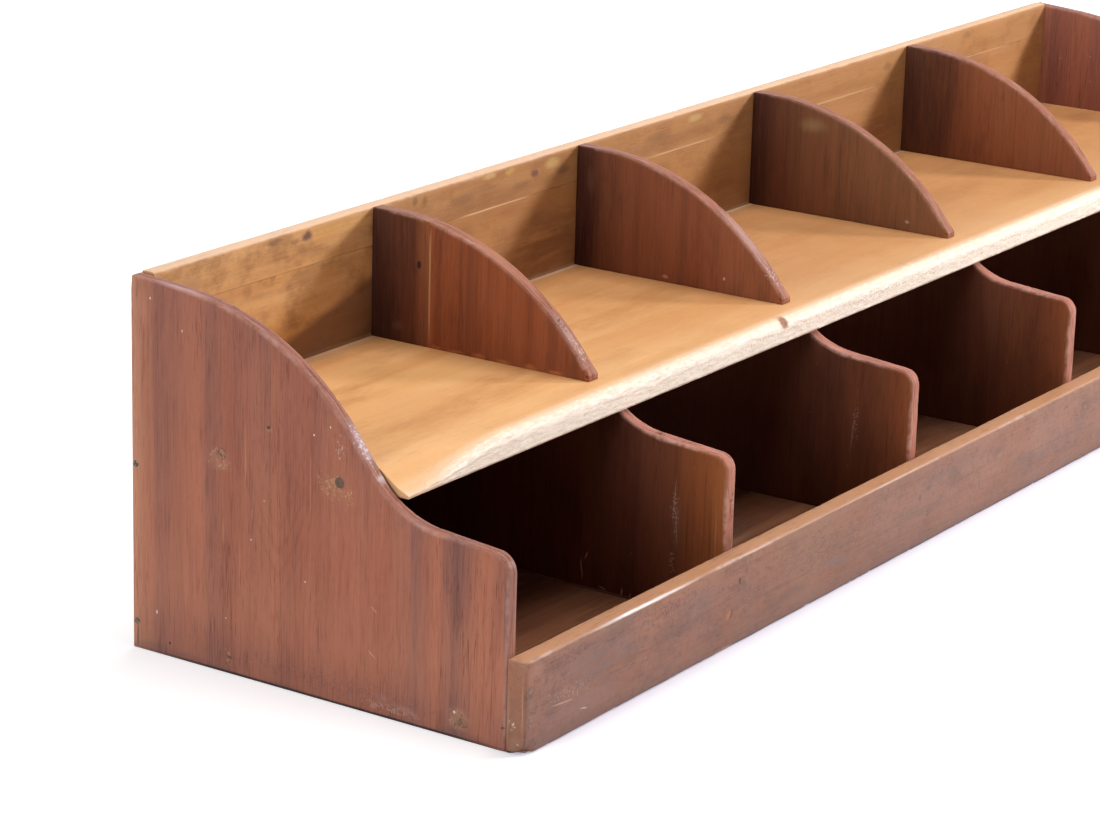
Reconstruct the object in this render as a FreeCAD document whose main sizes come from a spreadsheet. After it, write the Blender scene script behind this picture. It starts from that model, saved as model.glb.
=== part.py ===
"""Two-tier pigeonhole mail sorter of nailed hardwood boards.

A long, open desk sorter: two shaped end panels carry a back of two boards, a shelf, a bottom
board and a low front rail. Quarter-round dividers stand on the shelf, and taller ones with the
end panels' own lower curve stand under it. Cut nails hold it, and putty plugs fill the sunk
heads on the end panels. Nothing moves.

Frame: +X along the length, -Y to the open front, +Z up. The origin is the centre of the
footprint on the table. Lengths are in millimetres, angles in degrees.
"""
import FreeCAD, Part
import enum
import math
import os
import types

import Sketcher

SIZES = {
    # outer form
    "end_depth": 267.0,
    "shelf_top_height": 145.0,
    "upper_tier_height": 83.0,
    # end panels: the crown curves down from the top, the hollow curves on to the ledge
    "end_thick": 9.5,
    "end_below_back": 1.0,
    "front_below_shelf": 32.0,
    "crown_share": 1.49,
    "crown_slope": 4.0,
    "fall_slope": 52.5,
    "hollow_radius": 60.0,
    "ledge_run": 50.0,
    "ledge_slope": 5.0,
    "nose_radius": 12.0,
    "shaped_edge_radius": 3.0,
    "square_front_depth": 4.0,
    # back
    "back_thick": 9.5,
    "upper_board_width": 25.0,
    "seam_gap": 0.2,
    "board_edge_radius": 1.5,
    # shelf, bottom and rail
    "shelf_thick": 16.5,
    "shelf_setback": 75.0,
    "shelf_nose_radius": 7.0,
    "bottom_thick": 9.5,
    "rail_thick": 13.0,
    "rail_height": 55.5,
    "rail_edge_radius": 2.0,
    # bays and dividers
    "bay_count": 5,
    "bay_width": 218.5,
    "divider_thick": 10.5,
    "upper_divider_shift": 10.0,
    "upper_divider_below_back": 0.5,
    "upper_divider_flat": 21.5,
    "upper_divider_setback": 19.0,
    "upper_tip_height": 3.5,
    "first_divider_seam": 53.0,
    "lower_divider_nose_radius": 10.0,
    # nails and plugs
    "nail_radius": 1.1,
    "nail_head_radius": 2.0,
    "nail_head_thick": 0.9,
    "nail_length": 28.0,
    "nail_point": 3.0,
    "nail_clearance": 0.05,
    "shelf_plug_radius": 3.5,
    "bottom_plug_radius": 2.4,
    "plug_depth": 2.0,
    "cut_overrun": 1.0,
    # where the nails go
    "shelf_nail_drop": 12.5,
    "shelf_nail_rear": 66.5,
    "shelf_nail_setback": 41.0,
    "bottom_nail_drop": 2.3,
    "bottom_nail_rear": 72.0,
    "bottom_nail_setback": 30.0,
    "back_end_nail_rear": 3.0,
    "back_end_nail_low": 17.0,
    "back_end_nail_drop": 31.0,
    "rail_nail_rise": 20.0,
    "rail_nail_drop": 17.5,
    "upper_nail_rise": 23.0,
    "upper_nail_drop": 13.0,
    "lower_nail_rise": 30.5,
    "lower_nail_drop": 45.0,
    "foot_nail_rear": 90.0,
    "foot_nail_front": 135.0,
}

doc = FreeCAD.newDocument("mail_sorter")
sheet = doc.addObject("Spreadsheet::Sheet", "sizes")
for row, (alias, number) in enumerate(SIZES.items(), start=1):
    sheet.set(f"A{row}", alias)
    sheet.set(f"B{row}", str(number))
    sheet.setAlias(f"B{row}", alias)
doc.recompute()

# Two lengths closer than this are the same.
SAME_LENGTH = 1e-4


class SketchAxis(enum.IntEnum):
    """How Sketcher numbers a sketch's own axes; the level one starts at the origin."""

    LEVEL = -1
    UPRIGHT = -2


class Size:
    """A number together with the expression of the sheet's cells that gives it."""

    def __init__(self, number, rule):
        self.number = float(number)
        self.rule = rule

    def __add__(self, other):
        other = as_size(other)
        return Size(self.number + other.number, f"({self.rule} + {other.rule})")

    def __sub__(self, other):
        other = as_size(other)
        return Size(self.number - other.number, f"({self.rule} - {other.rule})")

    def __mul__(self, other):
        other = as_size(other)
        return Size(self.number * other.number, f"{self.rule} * {other.rule}")

    def __rmul__(self, other):
        return as_size(other) * self

    def __truediv__(self, other):
        other = as_size(other)
        return Size(self.number / other.number, f"{self.rule} / {other.rule}")

    def __neg__(self):
        return Size(-self.number, f"-({self.rule})")


def as_size(thing):
    """Take a plain number as a size without a cell."""
    return thing if isinstance(thing, Size) else Size(thing, str(thing))


def tangent(slope):
    """Rise of a slope in degrees over a run of one."""
    return Size(math.tan(math.radians(slope.number)), f"tan({slope.rule} * 1 deg)")


NOTHING = Size(0, "0")
cells = types.SimpleNamespace(
    **{alias: Size(sheet.get(alias), f"sizes.{alias}") for alias in SIZES}
)

# Sizes shared by several boards.
bay_total = cells.bay_count * cells.bay_width
inner_length = bay_total + (cells.bay_count - 1) * cells.divider_thick
half_length = cells.end_thick + inner_length / 2
left_inner = cells.end_thick - half_length
rear = (cells.end_depth + cells.rail_thick) / 2
rail_depth = cells.end_depth + cells.rail_thick
back_height = cells.shelf_top_height + cells.upper_tier_height
end_height = back_height - cells.end_below_back
front_height = cells.shelf_top_height - cells.front_below_shelf
crown_radius = cells.crown_share * (end_height - front_height)
ledge_start = cells.end_depth - cells.ledge_run
ledge_height = front_height + cells.ledge_run * tangent(cells.ledge_slope)
seam_height = back_height - cells.upper_board_width
shelf_underside = cells.shelf_top_height - cells.shelf_thick
shelf_middle = cells.shelf_top_height - cells.shelf_thick / 2
shelf_reach = cells.end_depth - cells.shelf_setback
upper_top = back_height - cells.upper_divider_below_back
upper_reach = shelf_reach - cells.upper_divider_setback
upper_tip = cells.shelf_top_height + cells.upper_tip_height

# A nail is modelled pointing down -Z from its head; these turn it to point another way.
TURN = {
    "+X": FreeCAD.Rotation(FreeCAD.Vector(0, 1, 0), -90),
    "-X": FreeCAD.Rotation(FreeCAD.Vector(0, 1, 0), 90),
    "-Y": FreeCAD.Rotation(FreeCAD.Vector(1, 0, 0), -90),
    "+Y": FreeCAD.Rotation(FreeCAD.Vector(1, 0, 0), 90),
    "+Z": FreeCAD.Rotation(FreeCAD.Vector(1, 0, 0), 180),
}


def lower_left(index):
    """Left face of lower divider 1, 2, ..."""
    return left_inner + index * cells.bay_width + (index - 1) * cells.divider_thick


def upper_left(index):
    """Left face of an upper divider, a little left of the one below it."""
    return lower_left(index) - cells.upper_divider_shift


def bay_middle(index):
    """Middle of lower bay 0, 1, 2, ..."""
    return left_inner + cells.bay_width / 2 + index * (cells.bay_width + cells.divider_thick)


def place(thing, across, back, up):
    """Bind an object's position to three sizes."""
    thing.setExpression("Placement.Base.x", across.rule)
    thing.setExpression("Placement.Base.y", back.rule)
    thing.setExpression("Placement.Base.z", up.rule)


def origin_plane(body, role):
    """Find one of a body's own origin planes."""
    return [feature for feature in body.Origin.OriginFeatures if feature.Role == role][0]


def bound(sketch, size, *terms):
    """Add a dimension to a sketch and bind it to a size."""
    index = sketch.addConstraint(Sketcher.Constraint(*terms))
    sketch.setExpression(f"Constraints[{index}]", size.rule)


def hold_coordinate(sketch, kind, edge, end, size, side=1):
    """Fix a point's coordinate by DistanceX or DistanceY, or on the axis where it is zero.

    side is -1 where the point lies on the axis's negative side.
    """
    level = SketchAxis.LEVEL
    if size.number == 0:
        axis = SketchAxis.UPRIGHT if kind == "DistanceX" else level
        sketch.addConstraint(Sketcher.Constraint("PointOnObject", edge, end, int(axis)))
    elif side > 0:
        bound(sketch, size, kind, int(level), 1, edge, end, size.number)
    else:
        bound(sketch, size, kind, edge, end, int(level), 1, size.number)


class Outline:
    """A closed outline sketched on a body's YZ plane and padded along +X.

    The body's origin is the rear face of the sorter at table height, so the outline's points
    are (minus the depth from the rear, the height above the table).
    """

    def __init__(self, name):
        self.body = doc.addObject("PartDesign::Body", f"{name}_body")
        self.sketch = self.body.newObject("Sketcher::SketchObject", f"{name}_outline")
        self.sketch.AttachmentSupport = [(origin_plane(self.body, "YZ_Plane"), "")]
        self.sketch.MapMode = "FlatFace"

    def line(self, start, end):
        """Add a straight edge and return its number."""
        return self.sketch.addGeometry(Part.LineSegment(start, end), False)

    def arc(self, centre, radius, start_degrees, end_degrees):
        """Add an arc that runs anticlockwise between two angles and return its number."""
        circle = Part.Circle(centre, FreeCAD.Vector(0, 0, 1), radius)
        start = math.radians(start_degrees)
        end = math.radians(end_degrees)
        return self.sketch.addGeometry(Part.ArcOfCircle(circle, start, end), False)

    def join(self, kind, first, first_end, second, second_end):
        """Join two edges at their ends, by Coincident or Tangent."""
        self.sketch.addConstraint(Sketcher.Constraint(kind, first, first_end, second, second_end))

    def straight(self, kind, *edges):
        """Keep edges Horizontal or Vertical."""
        for edge in edges:
            self.sketch.addConstraint(Sketcher.Constraint(kind, edge))

    def radius(self, edge, size):
        """Bind an arc's radius."""
        bound(self.sketch, size, "Radius", edge, size.number)

    def slope(self, edge, size):
        """Bind the slope of an edge that runs towards the rear, in degrees."""
        in_degrees = Size(math.radians(size.number), f"{size.rule} * 1 deg")
        bound(self.sketch, in_degrees, "Angle", edge, in_degrees.number)

    def depth(self, edge, end, size):
        """Fix how far a point lies in front of the rear face."""
        hold_coordinate(self.sketch, "DistanceX", edge, end, size, side=-1)

    def height(self, edge, end, size):
        """Fix how far a point lies above the table."""
        hold_coordinate(self.sketch, "DistanceY", edge, end, size)

    def pad(self, length):
        """Pad the outline along +X and return the pad."""
        feature = self.body.newObject("PartDesign::Pad", f"{self.body.Name}_pad")
        feature.Profile = self.sketch
        feature.setExpression("Length", length.rule)
        doc.recompute()
        return feature


def rounded(body, base, radius, chosen):
    """Round the edges of a feature that pass the test chosen(edge)."""
    names = [f"Edge{i}" for i, edge in enumerate(base.Shape.Edges, start=1) if chosen(edge)]
    fillet = body.newObject("PartDesign::Fillet", f"{body.Name}_edges")
    fillet.Base = (base, names)
    fillet.setExpression("Radius", radius.rule)
    doc.recompute()


def near(first, second):
    """Tell whether two lengths are the same."""
    return abs(first - second) < SAME_LENGTH


def lies_along_x(edge, depth, height):
    """Tell whether an edge runs along X at a depth from the rear and a height."""
    return all(
        near(v.Point.y, -depth.number) and near(v.Point.z, height.number) for v in edge.Vertexes
    )


def plank(name, rear_depth, front_depth, low, high, length):
    """Make a board of rectangular section that is long in X.

    The depths are from the rear face and the heights above the table.
    """
    shape = Outline(name)
    corners = [
        FreeCAD.Vector(-rear_depth.number, low.number, 0),
        FreeCAD.Vector(-front_depth.number, low.number, 0),
        FreeCAD.Vector(-front_depth.number, high.number, 0),
        FreeCAD.Vector(-rear_depth.number, high.number, 0),
    ]
    followers = corners[1:] + corners[:1]
    sides = [shape.line(corner, follower) for corner, follower in zip(corners, followers)]
    for side, following in zip(sides, sides[1:] + sides[:1]):
        shape.join("Coincident", side, 2, following, 1)
    shape.straight("Horizontal", sides[0], sides[2])
    shape.straight("Vertical", sides[1], sides[3])
    shape.depth(sides[0], 1, rear_depth)
    shape.depth(sides[0], 2, front_depth)
    shape.height(sides[0], 1, low)
    shape.height(sides[2], 1, high)
    return shape.body, shape.pad(length)


def step_back(slope_degrees):
    """Unit step towards the rear that climbs at a slope."""
    angle = math.radians(slope_degrees)
    return FreeCAD.Vector(math.cos(angle), math.sin(angle), 0)


def upper_normal(step):
    """Unit normal on the upper side of a step towards the rear."""
    return FreeCAD.Vector(-step.y, step.x, 0)


def add_front_curve(shape, foot_height, nose_radius, hollow_top_angle):
    """Add the upright front edge, the nose, the ledge and the hollow above it.

    The end panels and the lower dividers have one and the same ledge and hollow. Returns the
    numbers of the front edge and the hollow, and the point where the hollow ends.
    """
    slope = cells.ledge_slope.number
    radius = cells.hollow_radius.number
    ledge = step_back(slope)
    ledge_rear = FreeCAD.Vector(-ledge_start.number, ledge_height.number, 0)
    corner = FreeCAD.Vector(-cells.end_depth.number, front_height.number, 0)
    reach = nose_radius.number * math.tan(math.radians(90 - slope) / 2)
    nose_start = corner + ledge * reach
    nose_centre = nose_start - upper_normal(ledge) * nose_radius.number
    nose_end = corner - FreeCAD.Vector(0, reach, 0)
    hollow_centre = ledge_rear + upper_normal(ledge) * radius
    hollow_end = hollow_centre - upper_normal(step_back(hollow_top_angle)) * radius

    foot = FreeCAD.Vector(-cells.end_depth.number, foot_height.number, 0)
    front = shape.line(foot, nose_end)
    nose = shape.arc(nose_centre, nose_radius.number, 90 + slope, 180)
    ledge_edge = shape.line(nose_start, ledge_rear)
    hollow = shape.arc(hollow_centre, radius, 270 + slope, 270 + hollow_top_angle)

    shape.straight("Vertical", front)
    shape.join("Tangent", front, 2, nose, 2)
    shape.join("Tangent", nose, 1, ledge_edge, 1)
    shape.join("Tangent", ledge_edge, 2, hollow, 1)
    shape.depth(front, 1, cells.end_depth)
    shape.radius(nose, nose_radius)
    shape.radius(hollow, cells.hollow_radius)
    shape.slope(ledge_edge, cells.ledge_slope)
    shape.depth(hollow, 1, ledge_start)
    shape.height(hollow, 1, ledge_height)
    return front, hollow, hollow_end


def end_panel_blank(name):
    """Make a shaped end panel: rear, crown, fall, hollow, ledge and nose, with rounded edges."""
    shape = Outline(name)
    fall_slope, crown_slope = cells.fall_slope.number, cells.crown_slope.number
    front, hollow, hollow_end = add_front_curve(shape, NOTHING, cells.nose_radius, fall_slope)
    top = FreeCAD.Vector(0, end_height.number, 0)
    crown_step, fall_step = step_back(crown_slope), step_back(fall_slope)
    # where the crown's line and the fall's line would cross, and the crown's tangent length
    turn = crown_step.x * fall_step.y - crown_step.y * fall_step.x
    gap = top - hollow_end
    along_fall = (gap.y * crown_step.x - gap.x * crown_step.y) / turn
    crossing = hollow_end + fall_step * along_fall
    reach = crown_radius.number * math.tan(math.radians(fall_slope - crown_slope) / 2)
    fall_end = crossing - fall_step * reach
    crown_start = crossing + crown_step * reach
    crown_centre = crown_start - upper_normal(crown_step) * crown_radius.number

    origin = FreeCAD.Vector(0, 0, 0)
    fall = shape.line(hollow_end, fall_end)
    crown = shape.arc(crown_centre, crown_radius.number, 90 + crown_slope, 90 + fall_slope)
    brow = shape.line(crown_start, top)
    rear_edge = shape.line(top, origin)
    foot = shape.line(origin, FreeCAD.Vector(-cells.end_depth.number, 0, 0))

    shape.join("Tangent", hollow, 2, fall, 1)
    shape.join("Tangent", fall, 2, crown, 2)
    shape.join("Tangent", crown, 1, brow, 1)
    shape.join("Coincident", brow, 2, rear_edge, 1)
    shape.join("Coincident", rear_edge, 2, foot, 1)
    shape.join("Coincident", foot, 2, front, 1)
    shape.join("Coincident", rear_edge, 2, int(SketchAxis.LEVEL), 1)
    shape.straight("Vertical", rear_edge)
    shape.straight("Horizontal", foot)
    shape.slope(fall, cells.fall_slope)
    shape.slope(brow, cells.crown_slope)
    shape.radius(crown, crown_radius)
    shape.height(brow, 2, end_height)
    pad = shape.pad(cells.end_thick)

    def on_shaped_edge(edge):
        """Tell whether an edge follows the crown, hollow, ledge, nose or front."""
        points = edge.discretize(3)
        along_face = near(points[0].x, points[2].x)
        low = all(near(p.z, 0) for p in points)
        back = all(near(p.y, 0) for p in points)
        return along_face and not low and not back

    rounded(shape.body, pad, cells.shaped_edge_radius, on_shaped_edge)
    return shape.body


def square_front(name, across):
    """Make the square front corner of an end panel, where the rail covers it."""
    corner = doc.addObject("Part::Box", f"{name}_square_front")
    corner.setExpression("Length", cells.end_thick.rule)
    corner.setExpression("Width", cells.square_front_depth.rule)
    corner.setExpression("Height", cells.rail_height.rule)
    place(corner, across, rear - cells.end_depth, NOTHING)
    return corner


def lower_divider_blank(name):
    """Make a divider that stands under the shelf and follows the end panels' lower curve."""
    shape = Outline(name)
    radius = cells.hollow_radius.number
    centre_height = ledge_height.number + radius * math.cos(math.radians(cells.ledge_slope.number))
    top_angle = math.degrees(math.acos((centre_height - shelf_underside.number) / radius))
    front, hollow, hollow_end = add_front_curve(
        shape, cells.bottom_thick, cells.lower_divider_nose_radius, top_angle
    )
    rear_top = FreeCAD.Vector(-cells.back_thick.number, shelf_underside.number, 0)
    rear_foot = FreeCAD.Vector(-cells.back_thick.number, cells.bottom_thick.number, 0)
    front_foot = FreeCAD.Vector(-cells.end_depth.number, cells.bottom_thick.number, 0)
    top = shape.line(hollow_end, rear_top)
    rear_edge = shape.line(rear_top, rear_foot)
    foot = shape.line(rear_foot, front_foot)
    shape.join("Coincident", hollow, 2, top, 1)
    shape.join("Coincident", top, 2, rear_edge, 1)
    shape.join("Coincident", rear_edge, 2, foot, 1)
    shape.join("Coincident", foot, 2, front, 1)
    shape.straight("Horizontal", top, foot)
    shape.straight("Vertical", rear_edge)
    shape.depth(rear_edge, 1, cells.back_thick)
    shape.height(rear_edge, 1, shelf_underside)
    shape.height(rear_edge, 2, cells.bottom_thick)
    pad = shape.pad(cells.divider_thick)

    def on_front_curve(edge):
        """Tell whether an edge follows the hollow, ledge, nose or front."""
        points = edge.discretize(3)
        along_face = near(points[0].x, points[2].x)
        low = all(near(p.z, cells.bottom_thick.number) for p in points)
        high = all(near(p.z, shelf_underside.number) for p in points)
        back = all(near(p.y, -cells.back_thick.number) for p in points)
        return along_face and not low and not high and not back

    rounded(shape.body, pad, cells.shaped_edge_radius, on_front_curve)
    return shape.body


def upper_divider_blank(name):
    """Make a quarter-round divider that stands on the shelf."""
    shape = Outline(name)
    flat, reach = cells.upper_divider_flat.number, upper_reach.number
    top, tip, base = upper_top.number, upper_tip.number, cells.shelf_top_height.number
    # an arc that leaves the flat top level and comes down on the tip
    run, drop = reach - flat, top - tip
    radius = (run**2 + drop**2) / (2 * drop)
    centre = FreeCAD.Vector(-flat, top - radius, 0)
    tip_angle = 90 + math.degrees(math.asin(run / radius))

    crown_start = FreeCAD.Vector(-flat, top, 0)
    rear_top = FreeCAD.Vector(-cells.back_thick.number, top, 0)
    rear_foot = FreeCAD.Vector(-cells.back_thick.number, base, 0)
    tip_foot = FreeCAD.Vector(-reach, base, 0)
    tip_top = FreeCAD.Vector(-reach, tip, 0)
    crown = shape.arc(centre, radius, 90, tip_angle)
    brow = shape.line(crown_start, rear_top)
    rear_edge = shape.line(rear_top, rear_foot)
    foot = shape.line(rear_foot, tip_foot)
    front = shape.line(tip_foot, tip_top)
    shape.join("Tangent", crown, 1, brow, 1)
    shape.join("Coincident", brow, 2, rear_edge, 1)
    shape.join("Coincident", rear_edge, 2, foot, 1)
    shape.join("Coincident", foot, 2, front, 1)
    shape.join("Coincident", front, 2, crown, 2)
    shape.straight("Horizontal", brow, foot)
    shape.straight("Vertical", rear_edge, front)
    shape.depth(brow, 1, cells.upper_divider_flat)
    shape.depth(brow, 2, cells.back_thick)
    shape.depth(front, 1, upper_reach)
    shape.height(brow, 1, upper_top)
    shape.height(foot, 1, cells.shelf_top_height)
    shape.height(front, 2, upper_tip)
    pad = shape.pad(cells.divider_thick)

    def on_crown(edge):
        """Tell whether an edge follows the flat top or the crown."""
        points = edge.discretize(3)
        along_face = near(points[0].x, points[2].x)
        upright = near(points[0].y, points[2].y)
        return along_face and not upright and points[1].z > tip

    rounded(shape.body, pad, cells.shaped_edge_radius, on_crown)
    return shape.body


def back_blank():
    """Make the back's two boards, the upper one with its top edges eased."""
    lower, _ = plank(
        "back_lower", NOTHING, cells.back_thick, NOTHING, seam_height, inner_length
    )
    upper, pad = plank(
        "back_upper",
        NOTHING,
        cells.back_thick,
        seam_height + cells.seam_gap,
        back_height,
        inner_length,
    )

    def on_top(edge):
        """Tell whether an edge is one of the board's two long top edges."""
        return any(
            lies_along_x(edge, depth, back_height) for depth in (NOTHING, cells.back_thick)
        )

    rounded(upper, pad, cells.board_edge_radius, on_top)
    return lower, upper


def shelf_blank():
    """Make the shelf, with its top front edge rounded over."""
    body, pad = plank(
        "shelf",
        cells.back_thick,
        shelf_reach,
        shelf_underside,
        cells.shelf_top_height,
        inner_length,
    )

    def on_nose(edge):
        """Tell whether an edge is the top front one."""
        return lies_along_x(edge, shelf_reach, cells.shelf_top_height)

    rounded(body, pad, cells.shelf_nose_radius, on_nose)
    return body


def rail_blank():
    """Make the front rail, with its long top edges eased."""
    body, pad = plank(
        "rail", cells.end_depth, rail_depth, NOTHING, cells.rail_height, 2 * half_length
    )

    def on_top(edge):
        """Tell whether an edge is one of the rail's two long top edges."""
        return any(
            lies_along_x(edge, depth, cells.rail_height) for depth in (cells.end_depth, rail_depth)
        )

    rounded(body, pad, cells.rail_edge_radius, on_top)
    return body


def turned(name, points):
    """Make a round part by turning a half outline about Z.

    points are (radius, depth below the head, height above it), one of the last two NOTHING.
    """
    body = doc.addObject("PartDesign::Body", name)
    sketch = body.newObject("Sketcher::SketchObject", f"{name}_half")
    sketch.AttachmentSupport = [(origin_plane(body, "XZ_Plane"), "")]
    sketch.MapMode = "FlatFace"
    places = [
        FreeCAD.Vector(radius.number, above.number - below.number, 0)
        for radius, below, above in points
    ]
    for start, end in zip(places, places[1:] + places[:1]):
        sketch.addGeometry(Part.LineSegment(start, end), False)
    for i, (radius, below, above) in enumerate(points):
        following = (i + 1) % len(points)
        sketch.addConstraint(Sketcher.Constraint("Coincident", i, 2, following, 1))
        hold_coordinate(sketch, "DistanceX", i, 1, radius)
        if below.number > 0:
            hold_coordinate(sketch, "DistanceY", i, 1, below, side=-1)
        else:
            hold_coordinate(sketch, "DistanceY", i, 1, above)
    revolution = body.newObject("PartDesign::Revolution", f"{name}_turned")
    revolution.Profile = sketch
    revolution.ReferenceAxis = (sketch, ["V_Axis"])
    revolution.Angle = 360
    doc.recompute()
    return body


def nail_points(spare, above):
    """Half outline of a nail, or of the bore for one with some spare room all round."""
    head_radius = cells.nail_head_radius + spare
    shank_radius = cells.nail_radius + spare
    neck = cells.nail_head_thick + spare
    shoulder = cells.nail_length - cells.nail_point + spare
    return [
        (NOTHING, NOTHING, above),
        (head_radius, NOTHING, above),
        (head_radius, neck, NOTHING),
        (shank_radius, neck, NOTHING),
        (shank_radius, shoulder, NOTHING),
        (NOTHING, cells.nail_length + spare, NOTHING),
    ]


def plug_points(plug_radius, spare, above):
    """Half outline of a filler plug, or of the recess that holds it."""
    radius = plug_radius + spare
    return [
        (NOTHING, NOTHING, above),
        (radius, NOTHING, above),
        (radius, cells.plug_depth, NOTHING),
        (NOTHING, cells.plug_depth, NOTHING),
    ]


NODES = []


def keep(thing, name):
    """Name an object as one of the sorter's pieces."""
    thing.Label = name
    NODES.append(thing)


class Fixings:
    """A group of like nails or plugs, with the bores that they sit in."""

    def __init__(self, name):
        self.name = name
        self.pieces = []
        self.bores = []

    def add(self, piece, bore, way, across, back, up):
        """Put one piece and its bore at a place, its point turned to one of the ways in TURN."""
        for source, kept, suffix in ((piece, self.pieces, "piece"), (bore, self.bores, "bore")):
            link = doc.addObject("App::Link", f"{self.name}_{suffix}_{len(kept) + 1}")
            link.LinkedObject = source
            link.LinkTransform = False
            link.Placement = FreeCAD.Placement(FreeCAD.Vector(), TURN[way])
            place(link, across, back, up)
            kept.append(link)

    def group(self, kind, links):
        """Gather links into one compound."""
        compound = doc.addObject("Part::Compound", f"{self.name}_{kind}")
        compound.Links = links
        return compound

    def finish(self):
        """Make the node of pieces and the cutting tool of bores."""
        node = self.group("pieces", self.pieces)
        self.tool = self.group("bores", self.bores)
        doc.recompute()
        keep(node, self.name)


def bored(blank, name, fixings):
    """Cut a board's nail bores and name it as one of the sorter's pieces."""
    tool = doc.addObject("Part::Compound", f"{name}_all_bores")
    tool.Links = [group.tool for group in fixings]
    cut = doc.addObject("Part::Cut", f"{name}_cut")
    cut.Base = blank
    cut.Tool = tool
    doc.recompute()
    keep(cut, name)


def combined(name, kind, first, second):
    """Combine two objects with a Part boolean: Part::Cut, Part::Common or Part::Fuse."""
    result = doc.addObject(kind, name)
    result.Base = first
    result.Tool = second
    result.Refine = True
    doc.recompute()
    return result


def seam_room(name, depth):
    """Make a box that covers the first upper divider from the rear to a depth."""
    room = doc.addObject("Part::Box", name)
    room.setExpression("Length", (cells.divider_thick + 2 * cells.cut_overrun).rule)
    room.setExpression("Width", depth.rule)
    room.setExpression("Height", (back_height + cells.cut_overrun).rule)
    place(room, upper_left(1) - cells.cut_overrun, rear - depth, NOTHING)
    return room


nail = turned("nail", nail_points(NOTHING, NOTHING))
nail_bore = turned("nail_bore", nail_points(cells.nail_clearance, cells.cut_overrun))


def plug_and_recess(name, radius):
    """Make a filler plug and the recess for it."""
    return (
        turned(f"{name}_plug", plug_points(radius, NOTHING, NOTHING)),
        turned(f"{name}_recess", plug_points(radius, cells.nail_clearance, cells.cut_overrun)),
    )


shelf_plug, shelf_recess = plug_and_recess("shelf", cells.shelf_plug_radius)
bottom_plug, bottom_recess = plug_and_recess("bottom", cells.bottom_plug_radius)


def end_fixings(side, face, inward, way):
    """Put the nails and plugs through one end panel.

    face is the panel's outer face, and inward is 1 or -1, the way from it to the bays.
    """
    sunk_face = face + inward * (cells.plug_depth + cells.nail_clearance)
    nails = Fixings(f"{side}_end_nails")
    plugs = Fixings(f"{side}_end_plugs")
    shelf_height = cells.shelf_top_height - cells.shelf_nail_drop
    bottom_height = cells.bottom_thick - cells.bottom_nail_drop
    for piece, recess, depth, height in (
        (shelf_plug, shelf_recess, cells.shelf_nail_rear, shelf_height),
        (shelf_plug, shelf_recess, shelf_reach - cells.shelf_nail_setback, shelf_height),
        (bottom_plug, bottom_recess, cells.bottom_nail_rear, bottom_height),
        (bottom_plug, bottom_recess, cells.end_depth - cells.bottom_nail_setback, bottom_height),
    ):
        nails.add(nail, nail_bore, way, sunk_face, rear - depth, height)
        plugs.add(piece, recess, way, face, rear - depth, height)
    for height in (cells.back_end_nail_low, cells.shelf_top_height - cells.back_end_nail_drop):
        nails.add(nail, nail_bore, way, face, rear - cells.back_end_nail_rear, height)
    nails.finish()
    plugs.finish()
    return nails, plugs


def rail_fixings(places):
    """Put the nails through the rail into the end panels and the lower dividers."""
    nails = Fixings("rail_nails")
    for across in places:
        for height in (cells.rail_nail_rise, cells.rail_height - cells.rail_nail_drop):
            nails.add(nail, nail_bore, "+Y", across, -rear, height)
    nails.finish()
    return nails


def back_fixings(name, places, heights):
    """Put nails through the back, at each place along it and each height."""
    nails = Fixings(name)
    for across in places:
        for height in heights:
            nails.add(nail, nail_bore, "-Y", across, rear, height)
    nails.finish()
    return nails


def foot_fixings(name, places, face):
    """Put nails up through a board into the feet of the dividers on it."""
    nails = Fixings(name)
    for across in places:
        for depth in (cells.foot_nail_rear, cells.foot_nail_front):
            nails.add(nail, nail_bore, "+Z", across, rear - depth, face)
    nails.finish()
    return nails


bays = range(int(cells.bay_count.number))
dividers = range(1, len(bays))
upper_middles = [upper_left(index) + cells.divider_thick / 2 for index in dividers]
lower_middles = [lower_left(index) + cells.divider_thick / 2 for index in dividers]
bay_middles = [bay_middle(index) for index in bays]
end_middles = [cells.end_thick / 2 - half_length, half_length - cells.end_thick / 2]

left_nails, left_plugs = end_fixings("left", -half_length, 1, "+X")
right_nails, right_plugs = end_fixings("right", half_length, -1, "-X")
rail_nails = rail_fixings(end_middles + lower_middles)
back_upper_nails = back_fixings(
    "back_upper_nails",
    upper_middles,
    [cells.shelf_top_height + cells.upper_nail_rise, back_height - cells.upper_nail_drop],
)
back_lower_nails = back_fixings(
    "back_lower_nails",
    lower_middles,
    [cells.bottom_thick + cells.lower_nail_rise, cells.shelf_top_height - cells.lower_nail_drop],
)
back_shelf_nails = back_fixings("back_shelf_nails", bay_middles, [shelf_middle])
back_bottom_nails = back_fixings("back_bottom_nails", bay_middles, [cells.bottom_thick / 2])
upper_foot_nails = foot_fixings("upper_foot_nails", upper_middles, shelf_underside)
lower_foot_nails = foot_fixings("lower_foot_nails", lower_middles, NOTHING)

# The two end panels.
for side, across, own in (
    ("left", -half_length, [left_nails, left_plugs]),
    ("right", half_length - cells.end_thick, [right_nails, right_plugs]),
):
    rounded_blank = end_panel_blank(f"{side}_end")
    place(rounded_blank, across, rear, NOTHING)
    corner = square_front(f"{side}_end", across)
    blank = combined(f"{side}_end_blank", "Part::Fuse", rounded_blank, corner)
    bored(blank, f"{side}_end_panel", own + [rail_nails])

# The long boards.
back_lower, back_upper = back_blank()
bottom, _ = plank(
    "bottom", cells.back_thick, cells.end_depth, NOTHING, cells.bottom_thick, inner_length
)
shelf = shelf_blank()
for board in (back_lower, back_upper, bottom, shelf):
    place(board, left_inner, rear, NOTHING)
rail = rail_blank()
place(rail, -half_length, rear, NOTHING)

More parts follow.
